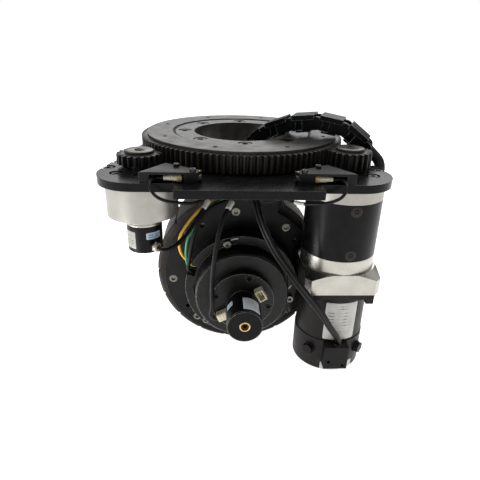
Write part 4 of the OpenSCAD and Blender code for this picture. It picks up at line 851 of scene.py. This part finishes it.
# lead connector: a body with latch tabs and ribs, then pins for the empty socket; half sizes across and up
lead = {
    "at": (-21.0, -105.0, -180.5), "turn": -25.0, "half": (6.5, 4.5), "corner": 0.7, "smallCorner": 0.4,
    "levels": [(0.3, -4.5), (0, -4.2), (0, 3.6), (0.8, 4.4), (0.8, 4.4)],
    "tabs": (-4.6, -1.55, 1.55, 4.6), "tabUp": 4.2, "tabHalf": (0.95, 3.4),
    "tabLevels": [(0, -0.6), (0, -0.6), (0, 1.6), (0.35, 2.1), (0.35, 2.1)],
    "ribs": (-3.1, 0.0, 3.1), "ribOut": 3.9, "ribHalf": (0.7, 3.4),
    "ribLevels": [(0, -0.5), (0, -0.5), (0, 0.5), (0.25, 0.9), (0.25, 0.9)],
    "socketAt": (19.0, -105.0, -154.0), "socketTurn": 59.0, "pinAcross": (-3.6, -1.2, 1.2, 3.6),
    "pinUp": (-1.4, 1.4),
    "pin": [(0, -1.2), (0.45, -1.2), (0.45, 2.4), (0.2, 2.8), (0, 2.8)],
}
right = onWheel(-lead["turn"])
up = np.cross(face, right)
leadShells = [pad(*lead["half"], lead["corner"], lead["levels"], layFlat(lead["at"], right, up), 48, 3)]
for x in lead["tabs"]:
    put = layFlat(lead["at"] + right * x + up * lead["tabUp"], right, face)
    leadShells.append(pad(*lead["tabHalf"], lead["smallCorner"], lead["tabLevels"], put, 24, 2))
for x in lead["ribs"]:
    put = layFlat(lead["at"] + right * x + face * lead["ribOut"], right, up)
    leadShells.append(pad(*lead["ribHalf"], lead["smallCorner"], lead["ribLevels"], put, 24, 2))
addPiece("leadConnector", leadShells, "cream_plastic", stands=["encoder_connector"])
right = onWheel(-lead["socketTurn"])
up = np.cross(face, right)
pins = [turned(lead["pin"], lead["socketAt"] + right * x + up * y, face, axisX, steps=12)
        for x in lead["pinAcross"] for y in lead["pinUp"]]
addPiece("socketPins", pins, "plug_brass")
print("traction motor dressed")

# marker sleeves on the cables: short slack tubes over shares of the length, a little wider than the cable
markers = {
    "steerEncoderCable": (0.65, 0.75), "tractionEncoderCable": (0.775, 0.835),
    "sensorCableRight": (0.45, 0.55),
}
markerFit = {"slack": 0.5, "pinch": 0.35, "rings": 12}
markerShells = []
for name, (start, end) in markers.items():
    run = pathLength(paths[name])
    even = np.linspace(start * run[-1], end * run[-1], markerFit["rings"])
    stretch = np.stack([np.interp(even, run, paths[name][:, i]) for i in range(3)], -1)
    swell = np.full(markerFit["rings"], cables[name]["radius"] + markerFit["slack"])
    swell[[0, -1]] -= markerFit["pinch"]
    markerShells.append(tube(stretch, roundSection(1.0, 16), cables[name]["side"], swell))
addPiece("cableMarkers", markerShells, "cable_black", markerSleeve)

# hub cover screws at the back of the wheel
hub = {"circle": 57.0, "count": 6, "phase": 30.0, "seat": 2.6, "screw": (2.5, 2.2, 1.3, 1.2)}
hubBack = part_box("hub_cover")[1][1] / mm
hubShells = []
for angle in hub["phase"] + np.arange(hub["count"]) * 360 / hub["count"]:
    seat = axle + onWheel(-angle) * hub["circle"] + axisY * (hubBack - hub["seat"])
    hubShells.append(screwHead(seat, axisY, onWheel(angle), *hub["screw"]))
addPiece("hubCoverScrews", hubShells, "black_screw", body="wheel")
print("cables, markers and wheel screws done")

# floor and surroundings: a light table under the part, which keeps the ground white to its far edge
studio = {"floorSize": 6.0, "floorGap": 0.0003, "floorGlow": 0.99, "surround": 0.22}
floorMaterial = makeFinish("paleSweep", ("#cbcbca", "#c7c7c6"), (0.8, 0.9), patchMm=400, specular=0.0,
    grainMm=3, grain=0.0, edgeMm=0.0)
floorShader = floorMaterial.node_tree.nodes["Principled BSDF"]
floorShader.inputs["Emission Color"].default_value = hexColour("#ffffff")
floorShader.inputs["Emission Strength"].default_value = studio["floorGlow"]
half = studio["floorSize"] / 2
floorZ = cadLow[2] - studio["floorGap"]
floorMesh = bpy.data.meshes.new("floor")
corners = [(-half, -half, floorZ), (half, -half, floorZ), (half, half, floorZ), (-half, half, floorZ)]
floorMesh.from_pydata(corners, [], [(0, 1, 2, 3)])
floorMesh.materials.append(floorMaterial)
floor = bpy.data.objects.new("floor", floorMesh)
scene.collection.objects.link(floor)

# softboxes: place and aim in metres, size, watts; a broad one overhead, weaker ones round the part, and
# a small one set in the floor on the left, which draws the highlight down the round gearbox
middle = (0.0, -0.02, -0.12)
lights = {
    "topLight": ((0.0, 0.15, 1.25), middle, (1.8, 1.6), 21.0),
    "leftLight": ((-1.25, -0.3, 0.05), middle, (0.4, 1.0), 2.4),
    "rightLight": ((1.25, 0.35, 0.45), middle, (0.6, 0.8), 0.9),
    "stripLight": ((-0.31, -0.18, floorZ + 0.002), (-0.31, -0.18, 1.0), (0.12, 0.16), 1.0),
    "backLight": ((0.2, 1.4, 0.75), middle, (1.8, 0.9), 11.5),
}
for name, (place, aim, size, power) in lights.items():
    lamp = bpy.data.lights.new(name, "AREA")
    lamp.shape = "RECTANGLE"
    lamp.size, lamp.size_y = size
    lamp.energy = power
    box = bpy.data.objects.new(name, lamp)
    box.location = place
    box.rotation_mode = "QUATERNION"
    box.rotation_quaternion = (Vector(aim) - Vector(place)).to_track_quat("-Z", "Y")
    scene.collection.objects.link(box)

world = bpy.data.worlds.new("studio")
scene.world = world
world.use_nodes = True
sky = world.node_tree
sky.nodes.clear()
around = addNode(sky, "ShaderNodeBackground", None,
                 {"Color": (0.96, 0.97, 1.0, 1.0), "Strength": studio["surround"]})
white = addNode(sky, "ShaderNodeBackground", None, {"Color": (1.0, 1.0, 1.0, 1.0), "Strength": 1.0})
seen = addNode(sky, "ShaderNodeLightPath")
blend = addNode(sky, "ShaderNodeMixShader", {0: (seen, "Is Camera Ray"), 1: (around, 0), 2: (white, 0)})
addNode(sky, "ShaderNodeOutputWorld", {"Surface": (blend, 0)})
scene.view_settings.view_transform = "Standard"
print("floor and light set")
